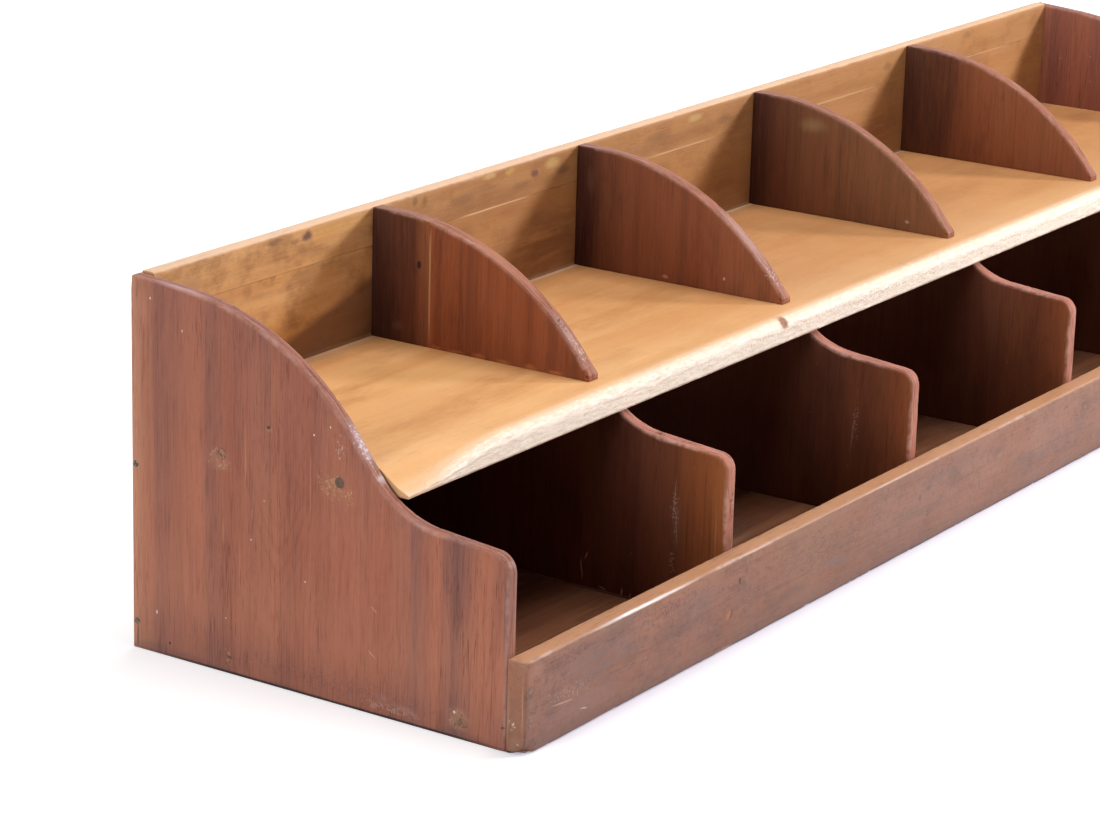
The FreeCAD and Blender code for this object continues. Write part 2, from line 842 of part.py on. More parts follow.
end_nails = [left_nails, right_nails]
back_nails = [back_upper_nails, back_lower_nails, back_shelf_nails, back_bottom_nails]
bored(back_lower, "back_lower_board", end_nails + back_nails)
bored(back_upper, "back_upper_board", [back_upper_nails])
bored(bottom, "bottom_board", end_nails + [back_bottom_nails, lower_foot_nails])
bored(shelf, "shelf_board", end_nails + [back_shelf_nails, upper_foot_nails])
bored(rail, "front_rail", [rail_nails])

# The dividers on the shelf. The first is glued up from two boards.
for index in dividers:
    blank = upper_divider_blank(f"upper_{index}")
    place(blank, upper_left(index), rear, NOTHING)
    own = [back_upper_nails, upper_foot_nails]
    if index == 1:
        rear_room = seam_room("rear_board_room", cells.first_divider_seam)
        front_room = seam_room("front_board_room", cells.first_divider_seam + cells.seam_gap)
        rear_blank = combined("upper_1_rear_blank", "Part::Common", blank, rear_room)
        front_blank = combined("upper_1_front_blank", "Part::Cut", blank, front_room)
        bored(rear_blank, "upper_divider_1_rear", own)
        bored(front_blank, "upper_divider_1_front", own)
    else:
        bored(blank, f"upper_divider_{index}", own)

# The dividers under the shelf.
for index in dividers:
    blank = lower_divider_blank(f"lower_{index}")
    place(blank, lower_left(index), rear, NOTHING)
    bored(blank, f"lower_divider_{index}", [back_lower_nails, rail_nails, lower_foot_nails])

doc.recompute()
for thing in doc.Objects:
    if "Invalid" in thing.State or "Error" in thing.State:
        raise RuntimeError(f"{thing.Name} failed: {thing.State}")
os.makedirs("parts", exist_ok=True)
for node in NODES:
    shape = node.Shape
    if shape.isNull() or not shape.isValid() or not shape.Solids:
        raise RuntimeError(f"{node.Label} has no valid solid")
    shape.exportStep(os.path.join("parts", f"{node.Label}.step"))
    print(f"{node.Label}: solids {len(shape.Solids)}, volume {shape.Volume:.0f} mm3")
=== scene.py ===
"""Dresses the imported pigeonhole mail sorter: worn boards, filled nail holes, studio and camera."""
import logging
import math
from dataclasses import dataclass, field
from enum import Enum
from typing import Callable, Sequence, TypeAlias

import bmesh
import bpy
from mathutils import Matrix, Vector, geometry, noise


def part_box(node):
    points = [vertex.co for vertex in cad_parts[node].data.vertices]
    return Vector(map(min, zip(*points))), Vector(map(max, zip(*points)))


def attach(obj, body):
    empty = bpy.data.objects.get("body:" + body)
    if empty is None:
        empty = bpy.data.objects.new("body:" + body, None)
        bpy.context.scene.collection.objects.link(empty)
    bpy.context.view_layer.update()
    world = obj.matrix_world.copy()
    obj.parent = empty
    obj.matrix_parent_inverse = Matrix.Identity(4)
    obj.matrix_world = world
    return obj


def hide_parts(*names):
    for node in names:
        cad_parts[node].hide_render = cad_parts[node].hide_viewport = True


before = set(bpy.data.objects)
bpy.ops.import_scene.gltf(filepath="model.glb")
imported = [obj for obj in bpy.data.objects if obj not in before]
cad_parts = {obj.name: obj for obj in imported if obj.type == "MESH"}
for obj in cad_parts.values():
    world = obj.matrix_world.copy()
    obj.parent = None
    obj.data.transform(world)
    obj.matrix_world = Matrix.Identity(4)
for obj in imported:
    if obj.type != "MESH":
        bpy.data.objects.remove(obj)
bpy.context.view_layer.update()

LOG = logging.getLogger("mail_sorter")
MM = 0.001
FAR_OFF = 1e9

# Faces in the shared frame, in mm.
LEFT = -576.75
REAR = 140.0
RAIL_FACE = -140.0
BACK_FACE = 130.5
SHELF_TOP = 145.0
FLOOR_TOP = 9.5

# Meshes, in mm: how far inside the CAD a board stays, how far from an arris its wear reaches, which corners count as
# sharp, and which points and slivers are merged. SHARP_TURN is in radians.
SKIN = 0.05
FADE = 8.0
SHARP_RADIUS = 2.0
SHARP_TURN = 0.2
ARRIS_BLEND = 5.0
WELD = 0.004
SLIVER = 0.003

# Wear, in mm: the sizes of its waves and of its chips, and where the shelf's nose has slumped.
WAVE_SIZE = 23.0
CHIP_SIZE = 3.6
SLUMP_START = 468.0
SLUMP_RUN = 98.0
NOSE_REAR = -24.0
NOSE_DEPTH = 28.0
NOSE_FOOT = 128.6

# Finishes: the size from which a mark has a slow edge and the place of the shade line painted along a shaped edge, in
# mm, and the scale of the growth rings times their gap.
LARGE_MARK = 11.0
ARRIS_SHADE_AT = 6.8
RING_SCALE = 314.0

Tone = tuple[float, float, float]
Spot = tuple[float, float, float]
Value: TypeAlias = float | Sequence[float] | bpy.types.NodeSocket


class Grain(Enum):
    """The direction in which a board's fibres run."""

    ALONG = "X"
    UPRIGHT = "Z"

    def stretch(self, share: float) -> Spot:
        """Returns the scale that draws a pattern out along the fibres."""
        return (share, 1.0, 1.0) if self is Grain.ALONG else (1.0, 1.0, share)


class Shape(Enum):
    """The outline of a mark on the wood."""

    SPOT = "mark_spot"
    BOX = "mark_box"
    RING = "mark_ring"
    FLECKS = "mark_flecks"


SPOT, BOX, RING, FLECKS = Shape


class Graph:
    """A material's node tree, with one short method per kind of node."""

    def __init__(self, tree: bpy.types.NodeTree) -> None:
        """Starts on an emptied tree."""
        self.tree = tree
        tree.nodes.clear()

    def put(self, socket: bpy.types.NodeSocket, value: Value) -> None:
        """Links a socket, or sets its own value.

        Args:
            socket: The input to fill.
            value: A socket to link from, or a plain value.
        """
        if isinstance(value, bpy.types.NodeSocket):
            self.tree.links.new(value, socket)
        elif socket.type == "RGBA" and len(value) == 3:
            socket.default_value = (*value, 1.0)
        else:
            socket.default_value = value

    def add(self, kind: str, inputs: dict[int | str, Value] | None = None, **settings: object) -> bpy.types.Node:
        """Adds a node.

        Args:
            kind: Blender's name for the node type, without its ShaderNode prefix.
            inputs: Values or links for its inputs, by name or number.
            **settings: Attributes of the node.

        Returns:
            The new node.
        """
        node = self.tree.nodes.new(f"ShaderNode{kind}")
        for name, value in settings.items():
            setattr(node, name, value)
        for key, value in (inputs or {}).items():
            self.put(node.inputs[key], value)
        return node

    def maths(self, operation: str, *values: Value) -> bpy.types.NodeSocket:
        """Returns the result of a sum on numbers."""
        return self.add("Math", dict(enumerate(values)), operation=operation).outputs[0]

    def vector(self, operation: str, *values: Value) -> bpy.types.NodeSocket:
        """Returns the vector that comes of a sum on vectors."""
        return self.add("VectorMath", dict(enumerate(values)), operation=operation).outputs[0]

    def scaled(self, place: Value, amount: Value) -> bpy.types.NodeSocket:
        """Returns a vector times a number."""
        return self.add("VectorMath", {0: place, "Scale": amount}, operation="SCALE").outputs[0]

    def length(self, place: Value) -> bpy.types.NodeSocket:
        """Returns the length of a vector."""
        return self.add("VectorMath", {0: place}, operation="LENGTH").outputs["Value"]

    def noise(self, place: Value, scale: float, detail: float = 2.0, roughness: float = 0.5) -> bpy.types.Node:
        """Adds a cloud pattern, with a number and a colour output."""
        return self.add("TexNoise", {"Vector": place, "Scale": scale, "Detail": detail, "Roughness": roughness})

    def ease(self, value: Value, low: Value, high: Value, start: float = 0.0, end: float = 1.0) -> bpy.types.NodeSocket:
        """Returns a number that goes smoothly from start at low to end at high."""
        inputs = {"Value": value, "From Min": low, "From Max": high, "To Min": start, "To Max": end}
        return self.add("MapRange", inputs, interpolation_type="SMOOTHSTEP").outputs[0]

    def blend(self, amount: Value, base: Value, over: Value, how: str = "MIX") -> bpy.types.NodeSocket:
        """Returns a base colour with another laid over it."""
        node = self.add("Mix", {0: amount, 6: base, 7: over}, data_type="RGBA", blend_type=how)
        return node.outputs[2]

    def attribute(self, name: str) -> bpy.types.NodeSocket:
        """Returns a number that the mesh carries."""
        return self.add("Attribute", attribute_name=name).outputs["Fac"]

    def times(self, first: Value, second: Value) -> bpy.types.NodeSocket:
        """Returns the product of two numbers."""
        return self.maths("MULTIPLY", first, second)

    def end(self, surface: bpy.types.Node) -> None:
        """Links a surface to the material's output."""
        self.tree.links.new(surface.outputs[0], self.add("OutputMaterial").inputs["Surface"])


class MarkGroups:
    """The shared node groups that tell how far a point is inside a mark."""

    def __init__(self) -> None:
        """Makes one group for each shape."""
        self.groups = {shape: self.make(shape) for shape in Shape}

    def make(self, shape: Shape) -> bpy.types.NodeTree:
        """Builds one group.

        Args:
            shape: The outline that the group measures.

        Returns:
            The node group, with the output Mask.
        """
        tree = bpy.data.node_groups.new(shape.value, "ShaderNodeTree")
        graph = Graph(tree)
        sockets = [("Place", "Vector"), ("Wander", "Vector"), ("At", "Vector"), ("Reach", "Vector"),
                   ("Turn", "Vector"), ("Ragged", "Float"), ("Soft", "Float")]
        for name, kind in sockets:
            tree.interface.new_socket(name, in_out="INPUT", socket_type=f"NodeSocket{kind}")
        tree.interface.new_socket("Mask", in_out="OUTPUT", socket_type="NodeSocketFloat")
        given = tree.nodes.new("NodeGroupInput").outputs
        result = tree.nodes.new("NodeGroupOutput")
        place = graph.vector("ADD", given["Place"], graph.scaled(given["Wander"], given["Ragged"]))
        local = graph.add(
            "Mapping",
            {"Vector": place, "Location": given["At"], "Rotation": given["Turn"], "Scale": given["Reach"]},
            vector_type="TEXTURE",
        ).outputs[0]
        if shape is Shape.BOX:
            parts = graph.add("SeparateXYZ", {0: graph.vector("ABSOLUTE", local)}).outputs
            far = graph.maths("MAXIMUM", parts[0], graph.maths("MAXIMUM", parts[1], parts[2]))
        else:
            far = graph.length(local)
        if shape is Shape.RING:
            far = graph.times(graph.maths("ABSOLUTE", graph.maths("SUBTRACT", far, 0.8)), 4.0)
        near = graph.maths("SUBTRACT", 1.0, given["Soft"])
        mask = graph.ease(far, near, 1.0, 1.0, 0.0)
        if shape is Shape.FLECKS:
            dots = graph.noise(given["Place"], 620.0, 3.0, 0.65).outputs[0]
            level = graph.maths("SUBTRACT", 0.66, graph.times(mask, 0.16))
            dots = graph.ease(graph.maths("SUBTRACT", dots, level), 0.0, 0.05)
            mask = graph.times(dots, graph.ease(mask, 0.0, 0.2))
        tree.links.new(mask, result.inputs["Mask"])
        return tree


MARKS = MarkGroups()


@dataclass(frozen=True)
class Mark:
    """A stain, scuff, knot, filled hole, painted shadow or painted highlight at a place on a board, in mm in the shared
    frame.
    """

    at: Spot
    reach: Spot
    tone: Tone
    strength: float = 0.7
    soft: float = 0.6
    ragged: float = 1.0
    turn: Spot = (0.0, 0.0, 0.0)
    shape: Shape = Shape.SPOT
    sink: float = 0.0

    def mask(self, graph: Graph, place: Value, wander: Value) -> bpy.types.NodeSocket:
        """Returns how strongly a point belongs to the mark.

        Args:
            graph: The tree to build in.
            place: The point's place.
            wander: A pattern that pushes the mark's edge about.

        Returns:
            A number from nought to the mark's strength.
        """
        node = graph.tree.nodes.new("ShaderNodeGroup")
        node.node_tree = MARKS.groups[self.shape]
        values = {
            "Place": place, "Wander": wander, "At": [c * MM for c in self.at],
            "Reach": [c * MM for c in self.reach], "Turn": [math.radians(c) for c in self.turn],
            "Ragged": self.ragged * MM * 2.0, "Soft": self.soft,
        }
        for name, value in values.items():
            graph.put(node.inputs[name], value)
        return graph.times(node.outputs[0], self.strength)


Row: TypeAlias = tuple[float | Tone | Shape, ...]


@dataclass(frozen=True)
class Face:
    """A flat face that carries marks: the axis it looks along, its place there and how deep they go, in mm."""

    axis: int
    at: float
    depth: float = 3.0

    def marks(self, *rows: Row) -> tuple[Mark, ...]:
        """Makes marks that lie flat on the face.

        Args:
            *rows: For each mark its place and half its size on the face, each along the face's two axes, then its
                tone, strength, softness and raggedness, and where they differ from the usual its turn in degrees,
                its shape and how deep it is sunk.

        Returns:
            The marks, in the same order.
        """
        made = []
        for first, second, wide, tall, tone, strength, soft, ragged, *rest in rows:
            turn, shape, sink = (*rest, *(0.0, SPOT, 0.0)[len(rest):])
            at, reach, turned = [first, second], [wide, tall], [0.0, 0.0]
            for values, own in ((at, self.at), (reach, self.depth), (turned, turn)):
                values.insert(self.axis, own)
            made.append(Mark(tuple(at), tuple(reach), tone, strength, soft, ragged, tuple(turned), shape, sink))
        return tuple(made)


@dataclass(frozen=True)
class Drift:
    """A slow change of tone across a board: places in mm along one axis, each with a tone and a strength."""

    axis: str
    stops: tuple[tuple[float, Tone, float], ...]
    ragged: float = 3.0
    before: float = FAR_OFF

    def lay(self, graph: Graph, base: Value, place: Value, wander: Value) -> bpy.types.NodeSocket:
        """Lays the change of tone over a colour.

        Args:
            graph: The tree to build in.
            base: The colour so far.
            place: The point's place.
            wander: A pattern that bends the bands.

        Returns:
            The new colour.
        """
        moved = graph.vector("ADD", place, graph.scaled(wander, self.ragged * MM * 2.0))
        along = graph.add("SeparateXYZ", {0: moved}).outputs["XYZ".index(self.axis)]
        low, high = self.stops[0][0], self.stops[-1][0]
        share = graph.add("MapRange", {"Value": along, "From Min": low * MM, "From Max": high * MM}).outputs[0]
        ramp = graph.add("ValToRGB", {0: share})
        ramp.color_ramp.interpolation = "EASE"
        elements = ramp.color_ramp.elements
        while len(elements) < len(self.stops):
            elements.new(0.5)
        for element, (at, tone, strength) in zip(elements, self.stops):
            element.position = (at - low) / (high - low)
            element.color = (*tone, strength)
        amount = ramp.outputs["Alpha"]
        if self.before < FAR_OFF:
            depth = graph.add("SeparateXYZ", {0: place}).outputs[1]
            near = self.before * MM
            amount = graph.times(amount, graph.ease(depth, near, near + MM, 1.0, 0.0))
        return graph.blend(amount, base, ramp.outputs["Color"])


@dataclass(frozen=True)
class Figure:
    """A faint pointed figure in the growth lines of a flat-sawn face, in mm."""

    tip: Spot
    width: float
    height: float
    strength: float = 0.16

    def lines(self, graph: Graph, place: Value, wander: Value) -> bpy.types.NodeSocket:
        """Returns how dark the figure's lines are at a point.

        Args:
            graph: The tree to build in.
            place: The point's place.
            wander: A pattern that bends the lines.

        Returns:
            A number from nought to the figure's strength.
        """
        moved = graph.vector("ADD", place, graph.scaled(wander, 0.004))
        tip = [c * MM for c in self.tip]
        parts = graph.add("SeparateXYZ", {0: graph.vector("SUBTRACT", moved, tip)}).outputs
        across = graph.maths("DIVIDE", graph.maths("ABSOLUTE", parts[1]), self.width * MM)
        up = graph.maths("DIVIDE", parts[2], self.height * MM)
        level = graph.maths("SUBTRACT", up, graph.maths("POWER", across, 1.4))
        wave = graph.maths("SINE", graph.times(level, 26.0))
        inside = graph.times(graph.ease(level, -0.35, 0.0), graph.ease(level, 0.75, 0.35))
        inside = graph.times(inside, graph.ease(up, 1.5, 0.5))
        return graph.times(graph.times(graph.ease(wave, 0.1, 0.9), inside), self.strength)


@dataclass(frozen=True)
class Pattern:
    """A cloudy pattern, drawn out along the fibres."""

    stretch: float
    scale: float
    detail: float = 3.0
    roughness: float = 0.6

    def at(self, graph: Graph, place: Value, grain: Grain) -> bpy.types.NodeSocket:
        """Returns the pattern's number at a place."""
        drawn = graph.vector("MULTIPLY", place, grain.stretch(self.stretch))
        return graph.noise(drawn, self.scale, self.detail, self.roughness).outputs[0]


BROAD = Pattern(0.05, 42.0)
FIBRE = Pattern(0.045, 900.0, roughness=0.7)
STREAK = Pattern(0.03, 110.0, 5.0, 0.72)
PORE = Pattern(0.06, 1400.0, 2.0, 0.5)
HAIR = Pattern(0.028, 640.0, roughness=0.65)
SPLINTER = Pattern(0.3, 620.0, 4.0, 0.75)
RING_SHADE: Tone = (0.62, 0.5, 0.45)
FIGURE_SHADE: Tone = (0.5, 0.4, 0.36)
FIBRE_SHADE: Tone = (0.6, 0.5, 0.46)
HAIR_SHADE: Tone = (0.5, 0.42, 0.42)
PORE_SHADE: Tone = (0.5, 0.4, 0.38)
LAYER_SHADE: Tone = (0.45, 0.36, 0.35)
ARRIS_SHADE_TONE: Tone = (0.3, 0.22, 0.22)
TORN_HOLLOW: Tone = (0.62, 0.4, 0.26)
TORN_FIBRE: Tone = (0.98, 0.88, 0.79)


@dataclass(frozen=True)
class WoodFinish:
    """Old stained and waxed wood, with its tones and how strongly its figure shows."""

    slot: str
    grain: Grain
    body: Tone
    light: Tone
    deep: Tone
    edge: Tone
    worn: Tone
    edge_share: float = 0.8
    worn_share: float = 0.7
    worn_start: float = 0.72
    worn_least: float = 0.25
    edge_streak: float = 0.0
    arris_shade_line: float = 0.0
    fibre: float = 0.5
    streak: float = 0.4
    pores: float = 0.5
    hairs: float = 0.3
    rings: float = 0.3
    ring_gap: float = 5.0
    patina: float = 0.5
    cloud_scale: float = 34.0
    cloud_stretch: float = 0.3
    mottle: float = 0.0
    tinge: Tone = (0.4, 0.2, 0.1)
    tinge_share: float = 0.0
    torn: bool = False
    specks: float = 0.5
    speck_tone: Tone = (0.62, 0.42, 0.34)
    roughness: float = 0.5
    gloss: float = 0.2
    relief: float = 0.22

    def dress(
        self, name: str, seed: float, marks: Sequence[Mark] = (), drifts: Sequence[Drift] = (),
        figures: Sequence[Figure] = (),
    ) -> bpy.types.Material:
        """Makes the material of one board.

        Args:
            name: The material's name.
            seed: A number that moves the grain, so that no two boards match.
            marks: Stains, scuffs, filled holes, painted shadows and painted highlights on this board.
            drifts: Slow changes of tone on this board.
            figures: Pointed figures in its growth lines.

        Returns:
            The material.
        """
        material = bpy.data.materials.new(name)
        material.use_nodes = True
        coat = Coat(self, Graph(material.node_tree), seed)
        coat.stain()
        for drift in drifts:
            coat.colour = drift.lay(coat.graph, coat.colour, coat.place, coat.sway)
        coat.edges()
        coat.growth(figures)
        coat.fibres()
        if self.torn:
            coat.torn_nose()
        coat.scars_and_painted_light(marks)
        coat.rub()
        coat.specks()
        coat.finish()
        material.diffuse_color = (*self.body, 1.0)
        return material


class Coat:
    """One board's material while it is mixed: its patterns, and its colour and relief so far."""

    def __init__(self, wood: WoodFinish, graph: Graph, seed: float) -> None:
        """Sets out the patterns that the layers share.

        Args:
            wood: The wood's tones and strengths.
            graph: The tree to build in.
            seed: A number that moves the grain.
        """
        self.wood, self.graph, self.seed = wood, graph, seed
        self.place = graph.add("TexCoord").outputs["Object"]
        self.moved = graph.vector("ADD", self.place, (seed * 0.37, seed * 0.53, seed * 0.71))
        drawn = graph.vector("MULTIPLY", self.moved, wood.grain.stretch(0.12))
        self.sway = self.push(drawn, 14.0, 2.0, 0.5)
        self.wander = self.push(self.moved, 190.0, 3.0, 0.6)
        self.slow = self.push(drawn, 90.0, 5.0, 0.68)
        self.bent = graph.vector("ADD", self.moved, graph.scaled(self.sway, 0.012))
        self.broad = BROAD.at(graph, self.bent, wood.grain)
        self.blotch = graph.noise(self.moved, 24.0, 4.0, 0.6).outputs[0]
        self.cloud = Pattern(wood.cloud_stretch, wood.cloud_scale, 4.0, 0.62).at(graph, self.bent, wood.grain)
        self.fibre = FIBRE.at(graph, self.bent, wood.grain)
        pore = PORE.at(graph, self.moved, wood.grain)
        self.pore = graph.times(graph.ease(pore, 0.58, 0.72), graph.ease(self.cloud, 0.35, 0.6, 0.25, 1.0))
        self.colour = graph.blend(graph.ease(self.broad, 0.36, 0.64), wood.body, wood.light)
        height = graph.maths("SUBTRACT", graph.times(self.fibre, -0.6), graph.times(self.pore, 0.7))
        self.height = graph.maths("ADD", height, graph.times(self.blotch, 0.8))

    def push(self, place: Value, scale: float, detail: float, roughness: float) -> bpy.types.NodeSocket:
        """Returns a pattern that pushes places about, evenly to all sides."""
        cloud = self.graph.noise(place, scale, detail, roughness).outputs["Color"]
        return self.graph.vector("SUBTRACT", cloud, (0.5, 0.5, 0.5))

    def lay(self, amount: Value, tone: Value) -> None:
        """Lays a tone over the colour so far."""
        self.colour = self.graph.blend(amount, self.colour, tone)

    def shade(self, amount: Value, tone: Tone) -> None:
        """Darkens the colour so far with a tone."""
        self.colour = self.graph.blend(amount, self.colour, tone, "MULTIPLY")

    def stain(self) -> None:
        """Lays the old stain: its tinge, its clouds, its streaks and its mottling."""
        graph, wood = self.graph, self.wood
        tint = Pattern(0.4, wood.cloud_scale * 0.6).at(graph, self.moved, wood.grain)
        self.lay(graph.ease(tint, 0.44, 0.66, 0.0, wood.tinge_share), wood.tinge)
        self.lay(graph.times(graph.ease(self.cloud, 0.47, 0.7), wood.patina), wood.deep)
        streak = STREAK.at(graph, self.bent, wood.grain)
        drawn_here = graph.ease(self.broad, 0.3, 0.62, wood.streak * 0.35, wood.streak)
        self.lay(graph.times(graph.ease(streak, 0.47, 0.68), drawn_here), wood.deep)
        self.lay(graph.ease(streak, 0.48, 0.3, 0.0, wood.streak * 0.6), wood.light)
        if wood.mottle:
            mottle = graph.noise(self.moved, 230.0, 5.0, 0.74).outputs[0]
            self.lay(graph.ease(mottle, 0.5, 0.68, 0.0, wood.mottle), wood.deep)
            self.lay(graph.ease(mottle, 0.48, 0.32, 0.0, wood.mottle * 0.6), wood.light)

    def edges(self) -> None:
        """Lays the tone of the cut edges, and the fine layers and a thin painted shade line along a shaped one."""
        graph, wood = self.graph, self.wood
        cut = graph.attribute("cut")
        self.lay(graph.times(cut, wood.edge_share), wood.edge)
        if not wood.edge_streak:
            return
        run, girth = graph.times(graph.attribute("run"), 0.05), graph.attribute("girth")
        along = graph.add("CombineXYZ", {0: run, 1: girth, 2: self.seed * 0.1}).outputs[0]
        layers = graph.noise(along, 900.0, 2.0, 0.7).outputs[0]
        # Painted shade: a thin dark line along the shaped edge, near the inner arris of the left end panel.
        if wood.arris_shade_line:
            bent = graph.maths("ADD", girth, graph.times(layers, 0.004))
            off = graph.maths("ABSOLUTE", graph.maths("SUBTRACT", bent, ARRIS_SHADE_AT * MM))
            arris_shade = graph.times(graph.ease(off, 0.0011, 0.0003), graph.times(cut, wood.arris_shade_line))
            self.shade(arris_shade, ARRIS_SHADE_TONE)
        share = graph.times(cut, wood.edge_streak)
        self.shade(graph.times(graph.ease(layers, 0.5, 0.66), share), LAYER_SHADE)
        self.lay(graph.times(graph.ease(layers, 0.46, 0.34), graph.times(share, 0.6)), wood.worn)

    def growth(self, figures: Sequence[Figure]) -> None:
        """Darkens the growth rings and the pointed figures.

        Args:
            figures: The figures of this board.
        """
        graph, wood = self.graph, self.wood
        place = graph.vector("ADD", self.place, graph.scaled(self.sway, 0.02))
        ring = graph.add(
            "TexWave",
            {
                "Vector": graph.vector("MULTIPLY", place, wood.grain.stretch(0.1)),
                "Scale": RING_SCALE / wood.ring_gap, "Distortion": 0.6, "Detail": 2.0,
            },
            wave_type="RINGS", rings_direction=wood.grain.value, wave_profile="SAW",
        ).outputs["Fac"]
        self.shade(graph.times(graph.ease(ring, 0.45, 1.0), wood.rings), RING_SHADE)
        for figure in figures:
            self.shade(figure.lines(graph, self.place, self.sway), FIGURE_SHADE)

    def fibres(self) -> None:
        """Draws the fibres, the fine hairs between them and the open pores."""
        graph, wood = self.graph, self.wood
        self.shade(graph.times(graph.ease(self.fibre, 0.48, 0.7), wood.fibre), FIBRE_SHADE)
        self.lay(graph.times(graph.ease(self.fibre, 0.5, 0.3), wood.fibre * 0.35), wood.light)
        hair = HAIR.at(graph, self.bent, wood.grain)
        dark = graph.times(graph.ease(hair, 0.54, 0.66), graph.ease(self.cloud, 0.38, 0.62, 0.35, 1.0))
        self.shade(graph.times(dark, wood.hairs), HAIR_SHADE)
        self.lay(graph.ease(hair, 0.4, 0.3, 0.0, wood.hairs * 0.4), wood.light)
        self.shade(graph.times(self.pore, wood.pores), PORE_SHADE)

    def torn_nose(self) -> None:
        """Bares the splintered wood along the shelf's front."""
        graph = self.graph
        bent = graph.vector("ADD", self.place, graph.scaled(self.wander, 0.004))
        bare = graph.ease(graph.add("SeparateXYZ", {0: bent}).outputs[1], -0.0445, -0.0505)
        splinter = SPLINTER.at(graph, self.moved, self.wood.grain)
        hollow = graph.times(graph.ease(splinter, 0.5, 0.66), bare)
        self.lay(graph.times(hollow, 0.16), TORN_HOLLOW)
        lifted = graph.times(graph.ease(splinter, 0.48, 0.36), bare)
        self.lay(graph.times(lifted, 0.7), TORN_FIBRE)
        self.height = graph.maths("SUBTRACT", self.height, graph.times(hollow, 0.8))

    def scars_and_painted_light(self, marks: Sequence[Mark]) -> None:
        """Lays the board's own marks, real ones and painted shadows and highlights alike, with a slower edge on the
        large ones.

        Args:
            marks: The marks, the undermost first.
        """
        graph = self.graph
        for mark in marks:
            mask = mark.mask(graph, self.place, self.slow if max(mark.reach) > LARGE_MARK else self.wander)
            self.lay(mask, mark.tone)
            if mark.sink:
                self.height = graph.maths("SUBTRACT", self.height, graph.times(mask, mark.sink))

    def rub(self) -> None:
        """Lays the bare tone along the rubbed arrises, in nibbles that come and go."""
        graph, wood = self.graph, self.wood
        uneven = graph.times(graph.maths("SUBTRACT", self.blotch, 0.5), 0.7)
        rough_edge = graph.maths("ADD", graph.attribute("arris"), uneven)
        rubbed = graph.ease(rough_edge, wood.worn_start, wood.worn_start + 0.3)
        nibble = graph.add("SeparateXYZ", {0: self.wander}).outputs[0]
        rubbed = graph.times(rubbed, graph.ease(nibble, -0.16, 0.12, 0.35, 1.0))
        come_and_go = graph.noise(self.moved, 17.0, 2.0).outputs[0]
        rubbed = graph.times(rubbed, graph.ease(come_and_go, 0.4, 0.6, wood.worn_least, 1.0))
        self.lay(graph.times(rubbed, wood.worn_share), wood.worn)

    def specks(self) -> None:
        """Scatters small pale specks."""
        graph, wood = self.graph, self.wood
        cells = graph.add("TexVoronoi", {"Vector": self.moved, "Scale": 95.0, "Randomness": 1.0})
        keep = graph.add("SeparateXYZ", {0: cells.outputs["Color"]}).outputs[0]
        dot = graph.times(graph.ease(cells.outputs["Distance"], 0.07, 0.03), graph.ease(keep, 0.72, 0.8))
        self.lay(graph.times(dot, wood.specks), wood.speck_tone)

    def finish(self) -> None:
        """Gives the surface its gloss and relief, and ends the tree."""
        graph, wood = self.graph, self.wood
        matt = graph.ease(self.blotch, 0.3, 0.7, wood.roughness - 0.07, wood.roughness + 0.09)
        matt = graph.maths("ADD", matt, graph.times(self.pore, 0.12))
        bump = graph.add("Bump", {"Strength": 0.8, "Distance": wood.relief * MM, "Height": self.height})
        inputs = {
            "Base Color": self.colour, "Roughness": matt, "Normal": bump.outputs[0], "Specular IOR Level": wood.gloss,
        }
        graph.end(graph.add("BsdfPrincipled", inputs))


@dataclass(frozen=True)
class NailFinish:
    """Old iron nails: dark, pitted, a little rusty, and rubbed brighter in places."""

    iron: Tone = (0.07, 0.055, 0.05)
    rust: Tone = (0.2, 0.09, 0.045)
    bright: Tone = (0.4, 0.37, 0.35)
    shine: float = 0.25
    metal: float = 0.55

    def dress(self, name: str) -> bpy.types.Material:
        """Makes the nails' material.

        Args:
            name: The material's name.

        Returns:
            The material.
        """
        material = bpy.data.materials.new(name)
        material.use_nodes = True
        graph = Graph(material.node_tree)
        place = graph.add("TexCoord").outputs["Object"]
        pits = graph.noise(place, 900.0, 3.0, 0.6).outputs[0]
        patches = graph.noise(place, 330.0, 2.0).outputs[0]
        colour = graph.blend(graph.ease(patches, 0.4, 0.62), self.iron, self.rust)
        rubbed = graph.times(graph.ease(pits, 0.5, 0.68), self.shine)
        colour = graph.blend(rubbed, colour, self.bright)
        matt = graph.ease(pits, 0.35, 0.7, 0.75, 0.42)
        bump = graph.add("Bump", {"Strength": 0.7, "Distance": 0.0002, "Height": pits})
        inputs = {"Base Color": colour, "Metallic": self.metal, "Roughness": matt, "Normal": bump.outputs[0]}
        graph.end(graph.add("BsdfPrincipled", inputs))
        return material


WAXED_NAIL = NailFinish((0.15, 0.075, 0.055), (0.28, 0.135, 0.09), (0.34, 0.19, 0.14), 0.4, 0.0)


